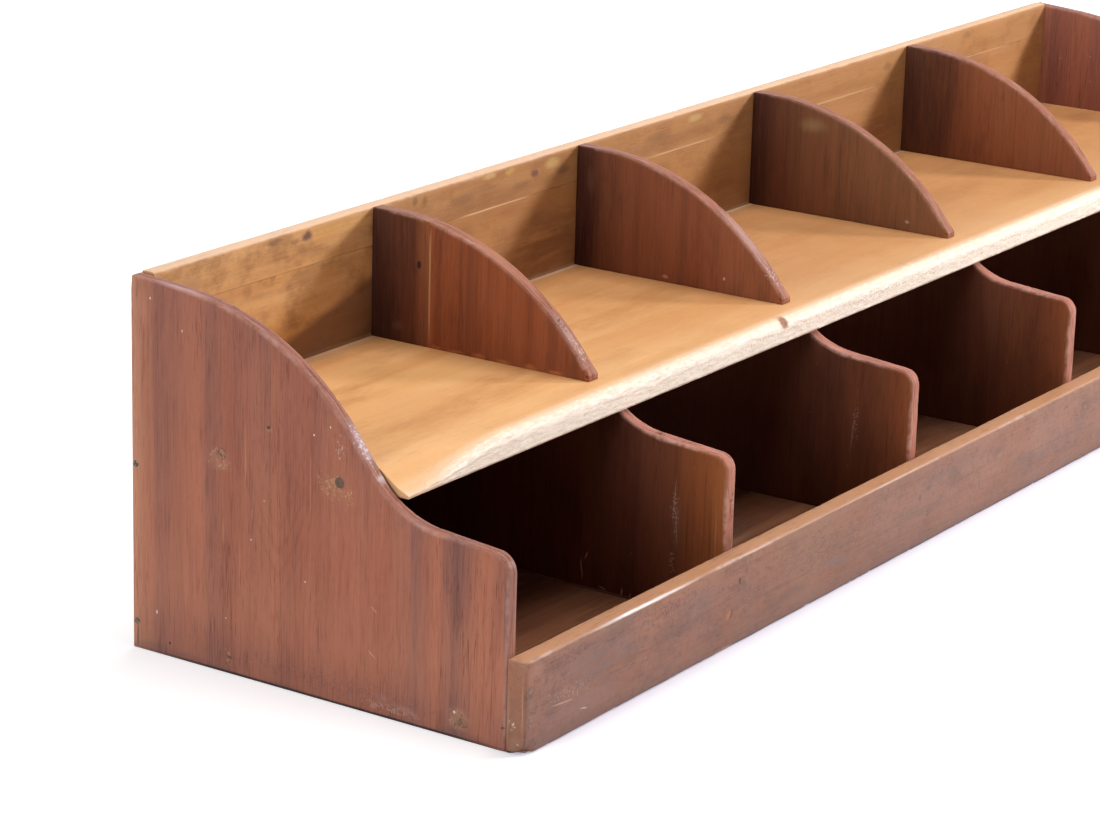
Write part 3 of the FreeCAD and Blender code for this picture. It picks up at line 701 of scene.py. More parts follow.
@dataclass(frozen=True)
class FillerFinish:
    """Wood filler rubbed into a nail hole: tan, with a darker dirty rim and pinholes."""

    body: Tone = (0.3, 0.125, 0.07)
    dark: Tone = (0.1, 0.055, 0.028)
    wood: Tone = (0.28, 0.1, 0.062)
    dark_patches: Tone = (0.07, 0.036, 0.022)

    def dress(self, name: str, seed: float) -> bpy.types.Material:
        """Makes the filler's material.

        Args:
            name: The material's name.
            seed: A number that moves its pattern.

        Returns:
            The material.
        """
        material = bpy.data.materials.new(name)
        material.use_nodes = True
        graph = Graph(material.node_tree)
        place = graph.add("TexCoord").outputs["Object"]
        moved = graph.vector("ADD", place, (seed, seed, seed))
        cloud = graph.noise(moved, 420.0, 3.0, 0.6).outputs[0]
        pits = graph.add("TexVoronoi", {"Vector": moved, "Scale": 1400.0}).outputs["Distance"]
        hole = graph.times(graph.ease(pits, 0.28, 0.12), graph.ease(cloud, 0.5, 0.6))
        rim = graph.attribute("rim")
        across = graph.add("SeparateXYZ", {0: place}).outputs[1]
        aside = graph.maths("ABSOLUTE", graph.maths("ADD", across, 0.011))
        base = graph.blend(graph.ease(aside, 0.03, 0.02), self.body, self.dark)
        colour = graph.blend(graph.ease(cloud, 0.42, 0.6, 0.0, 0.75), base, self.dark_patches)
        uneven = graph.maths("ADD", rim, graph.times(graph.maths("SUBTRACT", cloud, 0.5), 1.1))
        colour = graph.blend(graph.ease(uneven, 0.95, 1.2, 0.0, 0.7), colour, self.wood)
        colour = graph.blend(hole, colour, (0.02, 0.014, 0.01))
        height = graph.maths("SUBTRACT", cloud, graph.times(hole, 1.5))
        bump = graph.add("Bump", {"Strength": 0.8, "Distance": 0.0002, "Height": height})
        matt = graph.ease(cloud, 0.3, 0.7, 0.55, 0.75)
        graph.end(graph.add("BsdfPrincipled", {"Base Color": colour, "Roughness": matt, "Normal": bump.outputs[0]}))
        return material


@dataclass(frozen=True)
class Corner:
    """A corner of an outline before it is rounded, in (y, z) mm, and the arris of the run that leaves it."""

    y: float
    z: float
    radius: float = 0.8
    arris: float = 0.7


@dataclass(frozen=True)
class Station:
    """A point of an outline, with what the rings inside it need."""

    place: Vector
    outward: Vector
    arris: float
    to_corner: float
    corner: Vector
    mitre: Vector
    free: float
    run: float
    rub: float

    def inset(self, depth: float) -> Vector:
        """Moves the point inwards, and into its sharp corner's mitre once they meet.

        Args:
            depth: How far, in mm.

        Returns:
            The point this far inside the outline.
        """
        if depth <= self.free:
            return self.place - self.outward * depth
        return self.corner + self.mitre * depth


@dataclass
class Outline:
    """A closed outline with rounded corners, anticlockwise in (y, z), in mm."""

    corners: list[Corner]
    step: float = 2.5
    close: tuple[float, ...] = (0.8, 2.0, 4.0, 7.8)

    def stations(self) -> list[Station]:
        """Samples the outline.

        Returns:
            Its points in order, closer together beside its corners.
        """
        raw: list[tuple[Vector, Vector, float, int, float]] = []
        points = [Vector((corner.y, corner.z)) for corner in self.corners]
        count = len(points)
        turns, cuts, mitres = [], [], []
        for k, here in enumerate(points):
            into = (here - points[k - 1]).normalized()
            out = (points[(k + 1) % count] - here).normalized()
            turn = math.atan2(into.cross(out), into.dot(out))
            first, last = Vector((into.y, -into.x)), Vector((out.y, -out.x))
            turns.append(turn)
            cuts.append(self.corners[k].radius * math.tan(abs(turn) / 2))
            mitres.append(-(first + last) / (1 + first.dot(last)))
        for k, here in enumerate(points):
            corner = self.corners[k]
            into = (here - points[k - 1]).normalized()
            out = (points[(k + 1) % count] - here).normalized()
            normal = Vector((into.y, -into.x))
            side = 1.0 if turns[k] > 0 else -1.0
            centre = here - into * cuts[k] - normal * corner.radius * side
            parts = 1 if corner.radius < 0.15 else max(3, math.ceil(abs(turns[k]) * corner.radius / self.step))
            for j in range(parts + 1):
                facing = Matrix.Rotation(turns[k] * j / parts, 2) @ normal
                raw.append((centre + facing * corner.radius * side, facing, corner.arris, k, corner.radius))
            start = here + out * cuts[k]
            nxt = (k + 1) % count
            run = (points[nxt] - out * cuts[nxt] - start).length
            facing = Vector((out.y, -out.x))
            for at in self.places(run):
                near = k if at < run / 2 else nxt
                reach = (at + cuts[k]) if near == k else (run - at + cuts[nxt])
                sharp = self.corners[near].radius < SHARP_RADIUS and turns[near] > SHARP_TURN
                free = reach / math.tan(turns[near] / 2) if sharp else FAR_OFF
                raw.append((start + out * at, facing, corner.arris, near, free))
        return self.finished(raw, points, mitres, turns)

    def places(self, run: float) -> list[float]:
        """Chooses where a straight run is sampled: closer together beside its ends.

        Args:
            run: The run's length, in mm.

        Returns:
            The distances along it.
        """
        if run < 0.6:
            return []
        ends = [c for c in self.close if c < run * 0.45]
        inner = run - 2 * (ends[-1] if ends else 0.0)
        first = ends[-1] if ends else 0.0
        parts = max(2, math.ceil(inner / self.step))
        middle = [first + inner * j / parts for j in range(1, parts)]
        return ends + middle + [run - c for c in reversed(ends)]

    def finished(
        self, raw: list[tuple[Vector, Vector, float, int, float]], points: list[Vector], mitres: list[Vector],
        turns: list[float],
    ) -> list[Station]:
        """Adds each point's distance to the nearest sharp corner, and eases the arris from run to run.

        Args:
            raw: Place, outward direction, arris, nearest corner and free inset of each point.
            points: The corners' places.
            mitres: How each corner moves per mm of inset.
            turns: How far the outline turns at each corner, in radians.

        Returns:
            The outline's stations.
        """
        along, total = [0.0], 0.0
        for before, after in zip(raw, raw[1:] + raw[:1]):
            total += (after[0] - before[0]).length
            along.append(total)
        sharp = [k for k, c in enumerate(self.corners) if c.radius < SHARP_RADIUS and abs(turns[k]) > SHARP_TURN]
        marks = []
        for k in sharp:
            own = [along[i] for i, item in enumerate(raw) if item[3] == k and item[4] == self.corners[k].radius]
            marks.append(sum(own) / len(own))

        def gap(a: float, b: float) -> float:
            """Returns the distance between two places round the outline."""
            return min(abs(a - b), total - abs(a - b))

        made = []
        for i, (place, outward, _, near, free) in enumerate(raw):
            close = [item[2] for j, item in enumerate(raw) if gap(along[i], along[j]) < ARRIS_BLEND]
            arris = sum(close) / len(close)
            to_corner = min((gap(along[i], mark) for mark in marks), default=FAR_OFF)
            limit = free if near in sharp and turns[near] > 0 else FAR_OFF
            rub = 1.0 if self.corners[near].radius >= 1.0 else 0.06
            made.append(Station(place, outward, arris, to_corner, points[near], mitres[near], limit, along[i], rub))
        return made


@dataclass(frozen=True)
class Dent:
    """A chip or bruise: its place, its radius and its depth, in mm."""

    at: Spot
    radius: float
    depth: float


def smooth(value: float) -> float:
    """Returns a number held between nought and one, and eased at both."""
    held = max(0.0, min(1.0, value))
    return held * held * (3.0 - 2.0 * held)


@dataclass(frozen=True)
class Wear:
    """How far use has rounded and chipped a board's arrises, in mm."""

    wobble: float = 0.22
    chips: float = 0.5
    threshold: float = 0.42
    dents: tuple[Dent, ...] = ()
    torn_front: float = 0.0
    slump: float = 0.0

    def drop(self, place: Vector) -> float:
        """Tells how far the nose of the shelf has worn down beside its ends.

        Args:
            place: The point, in mm.

        Returns:
            How much lower the point lies, in mm.
        """
        if not self.slump or place.y > NOSE_REAR:
            return 0.0
        near_end = smooth((abs(place.x) - SLUMP_START) / SLUMP_RUN)
        near_front = smooth((NOSE_REAR - place.y) / NOSE_DEPTH)
        return self.slump * near_end * near_front * (place.z - NOSE_FOOT)

    def amount(self, place: Vector, normal: Vector, arris: float, seed: float) -> float:
        """Tells how far the surface has gone at a point.

        Args:
            place: The point, in mm.
            normal: The direction it faces.
            arris: How near it is to an arris, from nought to one.
            seed: A number that moves the pattern.

        Returns:
            The depth that is missing, in mm.
        """
        shift = Vector((seed * 17.0, seed * 5.0, seed * 11.0))
        slow = 0.5 + 0.5 * noise.noise((place + shift) / WAVE_SIZE)
        quick = max(0.0, noise.noise((place + shift) / CHIP_SIZE) - self.threshold) / (1.0 - self.threshold)
        gone = arris * arris * (self.wobble * slow + self.chips * quick * 2.2)
        for dent in self.dents:
            far = (place - Vector(dent.at)).length / dent.radius
            if far < 1.0:
                gone += dent.depth * (1.0 - far * far) ** 2
        if self.torn_front and normal.y < -0.7:
            fibrous = Vector((place.x / 14.0, place.y, place.z / 1.1)) + shift
            gone += self.torn_front * max(0.0, 0.35 + noise.fractal(fibrous, 0.7, 2.0, 3))
        return gone


def link_mesh(shape: bmesh.types.BMesh, name: str, sharp: float) -> bpy.types.Object:
    """Turns a shape in mm into an object of the scene, in metres.

    Args:
        shape: The shape, which is freed.
        name: The object's name.
        sharp: The angle in degrees from which an edge stays sharp.

    Returns:
        The object.
    """
    for vert in shape.verts:
        vert.co *= MM
    mesh = bpy.data.meshes.new(name)
    shape.to_mesh(mesh)
    shape.free()
    mesh.shade_smooth()
    mesh.set_sharp_from_angle(angle=math.radians(sharp))
    made = bpy.data.objects.new(name, mesh)
    bpy.context.scene.collection.objects.link(made)
    return made


@dataclass
class Timber:
    """One board: an outline in (y, z) carried from one x to another, with worn arrises and a fine mesh, in mm."""

    outline: Outline
    left: float
    right: float
    long: bool = False
    step: float = 3.0
    seed: float = 0.0
    wear: Wear = field(default_factory=Wear)

    def across(self, arris: float) -> list[tuple[float, float, float, float]]:
        """Lists the rings from the left face to the right one.

        Args:
            arris: The radius of the arris at this station.

        Returns:
            For each ring: distance from the left face, inset, distance from an arris, and share of edge.
        """
        thick = self.right - self.left
        parts = 5 if not self.long else 3
        arc = []
        for j in range(parts + 1):
            angle = math.pi / 2 * j / parts
            aside = arris * abs(angle - math.pi / 4)
            arc.append((arris * (1 - math.cos(angle)), arris * (1 - math.sin(angle)), aside, math.sin(angle)))
        inner = thick - 2 * arris
        if self.long:
            ends = [0.8, 2.0, 4.5, FADE]
            parts = max(2, math.ceil((inner - 2 * FADE) / self.step))
            middle = ends + [FADE + (inner - 2 * FADE) * j / parts for j in range(1, parts)]
            middle += [inner - e for e in reversed(ends)]
        else:
            middle = [inner * j / 5 for j in range(1, 5)]
        curve = arris * math.pi / 4
        rings = arc + [(arris + m, 0.0, min(m, inner - m) + curve, 1.0) for m in middle]
        rings += [(thick - w, inset, far, share) for w, inset, far, share in reversed(arc)]
        return rings

    def build(self, name: str) -> bpy.types.Object:
        """Makes the board's object.

        Args:
            name: The object's name.

        Returns:
            The object, linked to the scene, with the vertex numbers arris, cut, run and girth.
        """
        shape = bmesh.new()
        arris_layer = shape.verts.layers.float.new("arris")
        cut_layer = shape.verts.layers.float.new("cut")
        run_layer = shape.verts.layers.float.new("run")
        girth_layer = shape.verts.layers.float.new("girth")
        stations = self.outline.stations()

        def vertex(station: Station, flat: Vector, w: float, far: float, share: float) -> bmesh.types.BMVert:
            """Adds a point of the board.

            Args:
                station: The outline's station that it belongs to.
                flat: Its place in (y, z).
                w: Its distance from the left face.
                far: Its distance from an arris.
                share: How far it lies on the edge, and not on a face.

            Returns:
                The point, with its numbers set.
            """
            made = shape.verts.new((self.left + w, flat.x, flat.y))
            near_face = max(0.0, 1.0 - far / FADE)
            if self.long:
                near_corner = max(0.0, 1.0 - station.to_corner / FADE) * station.rub
                made[arris_layer] = max(near_corner, near_face * (0.15 if station.arris >= 1.0 else 0.06))
            else:
                made[arris_layer] = near_face * min(1.0, max(0.1, (station.arris - 0.8) / 1.2))
            made[cut_layer] = 1.0 - share if self.long else max(0.0, (share - 0.6) / 0.4)
            made[run_layer] = station.run * MM
            made[girth_layer] = w * MM
            return made

        columns = []
        for station in stations:
            column = []
            for w, inset, far, share in self.across(station.arris):
                column.append(vertex(station, station.inset(inset), w, far, share))
            columns.append(column)
        for first, second in zip(columns, columns[1:] + columns[:1]):
            for j in range(len(first) - 1):
                shape.faces.new((first[j], second[j], second[j + 1], first[j + 1]))
        self.cap(shape, vertex, stations, [column[0] for column in columns], 0.0)
        self.cap(shape, vertex, stations, [column[-1] for column in columns], self.right - self.left)
        bmesh.ops.remove_doubles(shape, verts=shape.verts, dist=WELD)
        bmesh.ops.dissolve_degenerate(shape, dist=SLIVER, edges=shape.edges)
        bmesh.ops.recalc_face_normals(shape, faces=shape.faces)
        shape.normal_update()
        for vert in shape.verts:
            gone = self.wear.amount(vert.co, vert.normal, vert[arris_layer], self.seed)
            vert.co -= vert.normal * gone
            vert.co.z -= self.wear.drop(vert.co)
        return link_mesh(shape, name, 38.0)

    def cap(
        self, shape: bmesh.types.BMesh, vertex: Callable[..., bmesh.types.BMVert], stations: list[Station],
        ring: list[bmesh.types.BMVert], w: float,
    ) -> None:
        """Closes one flat face with triangles whose points know how far the arris is.

        Args:
            shape: The board so far.
            vertex: Adds a point to it.
            stations: The outline's stations.
            ring: The points at the face's border.
            w: The face's distance from the left face.
        """
        border = [station.inset(station.arris) for station in stations]
        verts, flat = list(ring), list(border)
        for deep in ((0.8, 2.0) if self.long else (0.9, 2.4, 4.8, FADE)):
            for station in stations[::2]:
                spot = station.inset(station.arris + deep)
                if min((spot - other).length for other in border[::2]) > deep - 0.12:
                    if all((spot - other).length > 0.5 for other in flat[len(border):]):
                        verts.append(vertex(station, spot, w, deep + station.arris * math.pi / 4, 0.0))
                        flat.append(spot)
        order: list[int] = []
        for index, spot in enumerate(border):
            if not order or (spot - border[order[-1]]).length > 0.01:
                order.append(index)
        if (border[order[0]] - border[order[-1]]).length < 0.01:
            order.pop()
        _, _, faces, origin, _, _ = geometry.delaunay_2d_cdt(flat, [], [order], 1, 0.001)
        for face in faces:
            corners = [verts[origin[index][0]] for index in face if origin[index]]
            if len(set(corners)) == 3 and shape.faces.get(corners) is None:
                shape.faces.new(corners)


def place_piece(piece: bpy.types.Object, node: str, slot: str, material: bpy.types.Material) -> None:
    """Gives a piece its material and its body, and hides the CAD node that it replaces.

    Args:
        piece: The new piece.
        node: The CAD node that it replaces.
        slot: Not used.
        material: The piece's finish.
    """
    piece.data.materials.append(material)
    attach(piece, "root")
    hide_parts(node)
    LOG.info("%s: %d faces for %s", piece.name, len(piece.data.polygons), node)


def span(node: str) -> tuple[Vector, Vector]:
    """Returns a CAD node's lowest and highest corner, in mm."""
    low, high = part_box(node)
    return low / MM, high / MM


RED_OUTSIDE = WoodFinish(
    slot="red_hardwood", grain=Grain.UPRIGHT, body=(0.3, 0.095, 0.056), light=(0.38, 0.134, 0.08),
    deep=(0.17, 0.066, 0.053), edge=(0.35, 0.145, 0.105), worn=(0.52, 0.31, 0.26), edge_share=0.55, worn_share=0.55,
    edge_streak=0.6, arris_shade_line=0.5, fibre=0.45, streak=0.46, pores=0.65, rings=0.04, ring_gap=6.0, patina=0.6,
    cloud_scale=26.0, cloud_stretch=0.24, mottle=0.2, tinge=(0.4, 0.15, 0.095), tinge_share=0.35, hairs=0.5,
    specks=0.45,
)
RED_INSIDE = WoodFinish(
    slot="red_hardwood", grain=Grain.UPRIGHT, body=(0.225, 0.065, 0.027), light=(0.285, 0.088, 0.037),
    deep=(0.1, 0.032, 0.018), edge=(0.36, 0.14, 0.09), worn=(0.5, 0.27, 0.21), edge_share=0.75, worn_share=0.6,
    edge_streak=0.9, fibre=0.35, streak=0.5, pores=0.35, rings=0.03, patina=0.8, cloud_scale=30.0,
    tinge=(0.29, 0.105, 0.05), tinge_share=0.5, hairs=0.4, specks=0.1, roughness=0.44, gloss=0.15,
)
RED_SHADED = WoodFinish(
    slot="red_hardwood", grain=Grain.UPRIGHT, body=(0.12, 0.035, 0.018), light=(0.16, 0.05, 0.024),
    deep=(0.065, 0.02, 0.013), edge=(0.52, 0.215, 0.163), worn=(0.62, 0.36, 0.29), edge_streak=0.9,
    fibre=0.4, streak=0.55, pores=0.35, rings=0.03, patina=0.7, tinge=(0.19, 0.065, 0.036),
    tinge_share=0.4, specks=0.12, gloss=0.06,
)
GOLDEN_BACK = WoodFinish(
    slot="golden_hardwood", grain=Grain.ALONG, body=(0.57, 0.285, 0.11), light=(0.68, 0.385, 0.17),
    deep=(0.27, 0.118, 0.045), edge=(0.45, 0.25, 0.13), worn=(0.72, 0.46, 0.31), hairs=0.1, fibre=0.14, streak=0.12,
    pores=0.2, rings=0.02, ring_gap=7.0, patina=0.58, cloud_scale=44.0, cloud_stretch=0.65, mottle=0.15,
    tinge=(0.66, 0.34, 0.1), tinge_share=0.6, specks=0.15, roughness=0.52,
)
GOLDEN_SHELF = WoodFinish(
    slot="golden_hardwood", grain=Grain.ALONG, body=(0.68, 0.325, 0.115), light=(0.77, 0.42, 0.175),
    deep=(0.5, 0.22, 0.075), edge=(0.5, 0.3, 0.16), worn=(0.86, 0.64, 0.48), hairs=0.06, fibre=0.1, streak=0.12,
    pores=0.12, rings=0.02, ring_gap=7.0, patina=0.7, cloud_scale=24.0, torn=True, tinge=(0.76, 0.4, 0.16),
    tinge_share=0.5, specks=0.12, roughness=0.46,
)
BROWN_RAIL = WoodFinish(
    slot="brown_hardwood", grain=Grain.ALONG, body=(0.252, 0.102, 0.072), light=(0.328, 0.142, 0.098),
    deep=(0.125, 0.065, 0.06), edge=(0.28, 0.125, 0.07), worn=(0.62, 0.43, 0.38), edge_share=0.6, worn_start=0.82,
    hairs=0.14, fibre=0.27, streak=0.32, rings=0.04, patina=0.75, cloud_scale=46.0,
    cloud_stretch=0.7, mottle=0.85, tinge=(0.38, 0.158, 0.094), tinge_share=0.45, specks=0.3, roughness=0.42,
    relief=0.3,
)
BROWN_FLOOR = WoodFinish(
    slot="brown_hardwood", grain=Grain.ALONG, body=(0.22, 0.08, 0.04), light=(0.29, 0.115, 0.056),
    deep=(0.11, 0.044, 0.026), edge=(0.2, 0.11, 0.06), worn=(0.3, 0.17, 0.1), fibre=0.35, streak=0.6, pores=0.3,
    rings=0.04, ring_gap=6.0, patina=0.8, tinge=(0.3, 0.14, 0.08), tinge_share=0.4, roughness=0.58,
    gloss=0.12,
)
PEACH: Tone = (0.62, 0.37, 0.25)
WHITE_DUST: Tone = (0.75, 0.62, 0.55)
PITCH: Tone = (0.025, 0.015, 0.012)
PURPLE: Tone = (0.17, 0.09, 0.085)


@dataclass
class EndPanel:
    """One end of the sorter: an upright board with an S-shaped front, in mm."""

    node: str
    mirrored: bool
    depth: float = 267.0
    rear_height: float = 227.0
    front_height: float = 113.0
    brow: float = math.radians(4.0)
    ledge: float = math.radians(5.0)
    fall: float = math.radians(52.5)
    crown_radius: float = 169.9
    hollow_radius: float = 60.0
    ledge_length: float = 50.0
    nose_radius: float = 12.0
    edge_radius: float = 2.4

    def outline(self) -> Outline:
        """Sets out the panel's outline.

        Returns:
            The outline, from its rear foot round.
        """
        half = (self.fall - self.ledge) / 2
        run = self.ledge_length / math.cos(self.ledge) + self.hollow_radius * math.tan(half)
        hollow = Vector((self.depth - run * math.cos(self.ledge), self.front_height + run * math.sin(self.ledge)))
        climb = Vector((-math.cos(self.fall), math.sin(self.fall)))
        slope = math.tan(self.brow)
        rise = (self.rear_height - slope * hollow.x - hollow.y) / (climb.y + slope * climb.x)
        crown = hollow + climb * rise
        corners = [
            Corner(REAR, 0.0), Corner(REAR, self.rear_height, 1.2, self.edge_radius * 0.8),
            Corner(REAR - crown.x, crown.y, self.crown_radius, self.edge_radius),
            Corner(REAR - hollow.x, hollow.y, self.hollow_radius, self.edge_radius),
            Corner(REAR - self.depth, self.front_height, self.nose_radius, self.edge_radius),
            Corner(REAR - self.depth, 0.0, 0.8, 0.7),
        ]
        return Outline(corners, step=1.8)

    def marks(self) -> tuple[Mark, ...]:
        """Lists the outer face's stains, scuffs and filled holes, and a shadow line painted along its foot.

        Returns:
            The marks, the undermost first.
        """
        x = -LEFT if self.mirrored else LEFT
        side = -1.0 if self.mirrored else 1.0
        outer = Face(0, x)
        lilac: Tone = (0.6, 0.42, 0.44)
        return (
            *outer.marks(
                (75.5, 128.6, 11.5, 9.5, (0.44, 0.22, 0.135), 0.4, 1, 4),
                (75.5, 128.6, 12.5, 10.5, (0.47, 0.27, 0.17), 0.55, 0.9, 1.5, 0, FLECKS),
                (73.5, 132.8, 4.2, 4.6, (0.12, 0.05, 0.036), 0.55, 0.45, 1.6, 0, SPOT, 0.4),
                (-9.2, 128.6, 15, 10.5, (0.36, 0.17, 0.1), 0.25, 1, 4),
                (-7, 129.5, 17, 13, (0.47, 0.27, 0.14), 0.6, 0.9, 1.5, 0, FLECKS),
                (-18.6, 126, 6, 7.5, (0.5, 0.28, 0.13), 0.75, 0.8, 1.5, 0, FLECKS),
                (-11.4, 132.4, 3.9, 4.1, (0.09, 0.045, 0.03), 0.6, 0.35, 0.5),
                (68, 12.5, 5, 6, (0.45, 0.25, 0.15), 0.6, 0.9, 1.5, 0, FLECKS),
                (67.4, 10.4, 2.8, 1.2, (0.08, 0.04, 0.03), 0.8, 0.6, 0.5),
                (-95.5, 11.5, 11, 10, (0.44, 0.24, 0.15), 0.5, 1, 3),
                (-95.5, 11.5, 12, 11, (0.5, 0.31, 0.19), 0.6, 0.8, 1.5, 0, FLECKS),
                (-97.5, 10, 5.5, 5, (0.16, 0.08, 0.045), 0.55, 1, 2),
                (-97, 10.5, 9, 9, (0.1, 0.05, 0.035), 0.8, 0.8, 1.5, 0, FLECKS),
                (-92.3, 15.5, 1, 1, WHITE_DUST, 0.9, 0.5, 0.3), (136.5, 9, 0.5, 9, PITCH, 0.8, 0.4, 0.5),
                (112, 8.6, 0.9, 1.2, PITCH, 0.9, 0.4, 0.3), (39, 154, 3.2, 2.6, (0.42, 0.24, 0.13), 0.45, 0.8, 1.2),
                (39.4, 154.8, 1.9, 1.5, PITCH, 0.8, 0.5, 1), (7, 156.9, 0.7, 0.7, WHITE_DUST, 0.9, 0.5, 0.2),
                (-4.5, 163.6, 0.6, 0.9, WHITE_DUST, 0.8, 0.5, 0.2),
                (42.3, 110.8, 0.9, 0.7, (0.5, 0.32, 0.2), 0.8, 0.5, 0.3),
                (-12, 152, 6, 14, WHITE_DUST, 0.3, 1, 1, 0, FLECKS), (-125.4, 13.6, 2.2, 0.9, PITCH, 0.8, 0.5, 0.8),
                (121.8, 25.7, 0.8, 1.6, WHITE_DUST, 0.8, 0.6, 0.5), (70, 33.9, 0.5, 0.5, WHITE_DUST, 0.8, 0.5, 0.2),
                (51.7, 85.5, 0.6, 0.6, WHITE_DUST, 0.9, 0.5, 0.2), (12.6, 68.7, 0.6, 0.6, WHITE_DUST, 0.9, 0.5, 0.2),
                (125.6, 215.5, 0.8, 1, WHITE_DUST, 0.7, 0.5, 0.3), (102, 200.2, 0.5, 1.2, WHITE_DUST, 0.7, 0.5, 0.3),
                (-35, 36, 4.5, 0.5, PEACH, 0.6, 0.6, 0.5, 38), (-36, 63, 3.5, 0.5, PEACH, 0.5, 0.6, 0.5, 35),
                (72, 86, 0.8, 12, (0.5, 0.22, 0.12), 0.45, 0.8, 1),
                (84, 112, 2.6, 15, (0.13, 0.06, 0.055), 0.5, 1, 3),
                (-86, 95, 1.6, 24, (0.12, 0.055, 0.052), 0.5, 1, 2),
                (-62, 105, 1.2, 18, (0.13, 0.055, 0.048), 0.5, 1, 2),
                (96, 60, 2, 50, (0.16, 0.07, 0.058), 0.35, 1, 3), (20, 60, 1.5, 55, (0.17, 0.075, 0.06), 0.3, 1, 3),
                (56, 132, 0.7, 34, (0.47, 0.24, 0.17), 0.45, 0.9, 1.2),
                (9, 126, 0.6, 26, (0.47, 0.24, 0.17), 0.4, 0.9, 1.2),
                (60, 70, 1, 26, (0.45, 0.2, 0.13), 0.3, 0.8, 1.5),
            ),
            Mark((x + 5 * side, -22, 157), (5.4, 22, 5), lilac, 0.5, 0.9, 1.5, (52, 0, 0)),
            Mark(
                (x + 5 * side, -24, 154.5), (6.5, 24, 6), (0.74, 0.64, 0.66), 0.65, 0.9, 1.5, (52, 0, 0),
                FLECKS,
            ),
            Mark((x + 5 * side, -36.5, 138.8), (5, 4.5, 3), (0.75, 0.64, 0.64), 0.5, 0.9, 3, (50, 0, 0)),
            Mark((x + 6.5 * side, -31, 145.5), (3.5, 9, 2.6), PITCH, 0.7, 0.8, 1.2, (52, 0, 0), FLECKS),
            Mark((x + 8.5 * side, -42, 132.5), (2, 10, 2), PITCH, 0.7, 0.8, 1, (42, 0, 0)),
            Mark((x + 8 * side, 68, 218.5), (3.4, 4, 2.6), PITCH, 0.8, 0.7, 1),
            Mark((x + 2 * side, 104, 224.6), (4, 30, 2.2), lilac, 0.45, 0.9, 1, (5, 0, 0)),
            *outer.marks(
                (132, 208, 6, 16, (0.47, 0.2, 0.13), 0.5, 0.9, 4), (-125, 80, 1.2, 40, PURPLE, 0.75, 0.7, 1.2),
            ),
            Mark((x + 5.5 * side, -127, 55), (4, 1.5, 60), (0.5, 0.21, 0.15), 0.4, 0.9, 1.5),
            *outer.marks(
                (-42, 12, 9, 4, (0.42, 0.24, 0.2), 0.25, 0.9, 4),
                (-60, 8, 12, 3, (0.42, 0.26, 0.22), 0.25, 0.9, 4, 10),
                (-45, 7, 40, 6, (0.52, 0.34, 0.27), 0.45, 0.9, 1.5, 0, FLECKS),
                (-10, 12, 120, 12, (0.14, 0.07, 0.06), 0.35, 0.9, 1.5, 0, FLECKS),
                # Painted shadow: a dark line along the foot, where the panel meets the floor.
                (0, 0, 150, 2.3, (0.02, 0.011, 0.01), 0.95, 0.5, 0.5, 0, BOX),
            ),
        )

    def drifts(self) -> list[Drift]:
        """Lists the outer face's slow changes of tone.

        Returns:
            The change from rear to front, and the one from foot to crown.
        """
        plain: Tone = (0.34, 0.14, 0.09)
        grey: Tone = (0.17, 0.078, 0.07)
        warm: Tone = (0.41, 0.145, 0.08)
        bands = Drift("Y", (
            (-128, (0.15, 0.075, 0.07), 0.85), (-121.5, plain, 0.1), (-112, warm, 0.7), (-104, warm, 0.4),
            (-99, grey, 0.3), (-93, (0.12, 0.054, 0.052), 0.85), (-86.5, grey, 0.35), (-80, warm, 0.5),
            (-72, grey, 0.15), (-66, grey, 0.75), (-59, grey, 0.25), (-40, plain, 0), (28, plain, 0),
            (34, warm, 0.45), (42, grey, 0.15), (66, plain, 0), (82, grey, 0.4), (92, warm, 0.2),
            (112, grey, 0.3), (121, grey, 0.5), (128, (0.46, 0.2, 0.12), 0.45),
            (140, (0.58, 0.28, 0.175), 0.85),
        ), 4.0)
        foot = Drift("Z", (
            (0, (0.17, 0.09, 0.08), 0.6), (5, (0.28, 0.13, 0.1), 0.35), (40, (0.43, 0.175, 0.11), 0.42),
            (90, (0.4, 0.15, 0.092), 0.15), (150, (0.25, 0.1, 0.075), 0.15), (227, (0.25, 0.1, 0.075), 0.3),
        ), 14.0)
        return [bands, foot]

    def dents(self) -> tuple[Dent, ...]:
        """Lists the chips along the shaped edge.

        Returns:
            The chips, moved down the edge on the mirrored panel.
        """
        x = LEFT + 9.5
        left = (
            Dent((x, 68, 218.5), 2.6, 1), Dent((x, -9, 172.3), 2.4, 0.7), Dent((x, -17, 163.3), 2, 0.8),
            Dent((x, -24, 154.6), 2.4, 0.8), Dent((x, -33, 142.9), 2.2, 0.7), Dent((x, -46, 129.2), 2.4, 0.8),
            Dent((LEFT, -20, 159.7), 2.6, 0.5), Dent((LEFT, -5, 176.4), 3, 0.5),
            Dent((LEFT, -127, 70), 2.6, 0.6), Dent((LEFT, -126, 14), 1.8, 0.7),
        )
        if not self.mirrored:
            return left
        return tuple(Dent((-d.at[0], d.at[1] + 31.0, d.at[2] - 24.0), d.radius, d.depth) for d in left)

    def build(self) -> None:
        """Builds and dresses the panel."""
        low, high = span(self.node)
        seed = 7.0 if self.mirrored else 2.0
        wear = Wear(wobble=0.18, chips=0.4, dents=self.dents())
        timber = Timber(self.outline(), low.x + SKIN, high.x - SKIN, seed=seed, wear=wear)
        figure = Figure((-LEFT if self.mirrored else LEFT, 32.0, 65.0), 26.0, 60.0)
        material = RED_OUTSIDE.dress(f"{self.node}_finish", seed, self.marks(), self.drifts(), [figure])
        place_piece(timber.build(f"{self.node}_timber"), self.node, RED_OUTSIDE.slot, material)


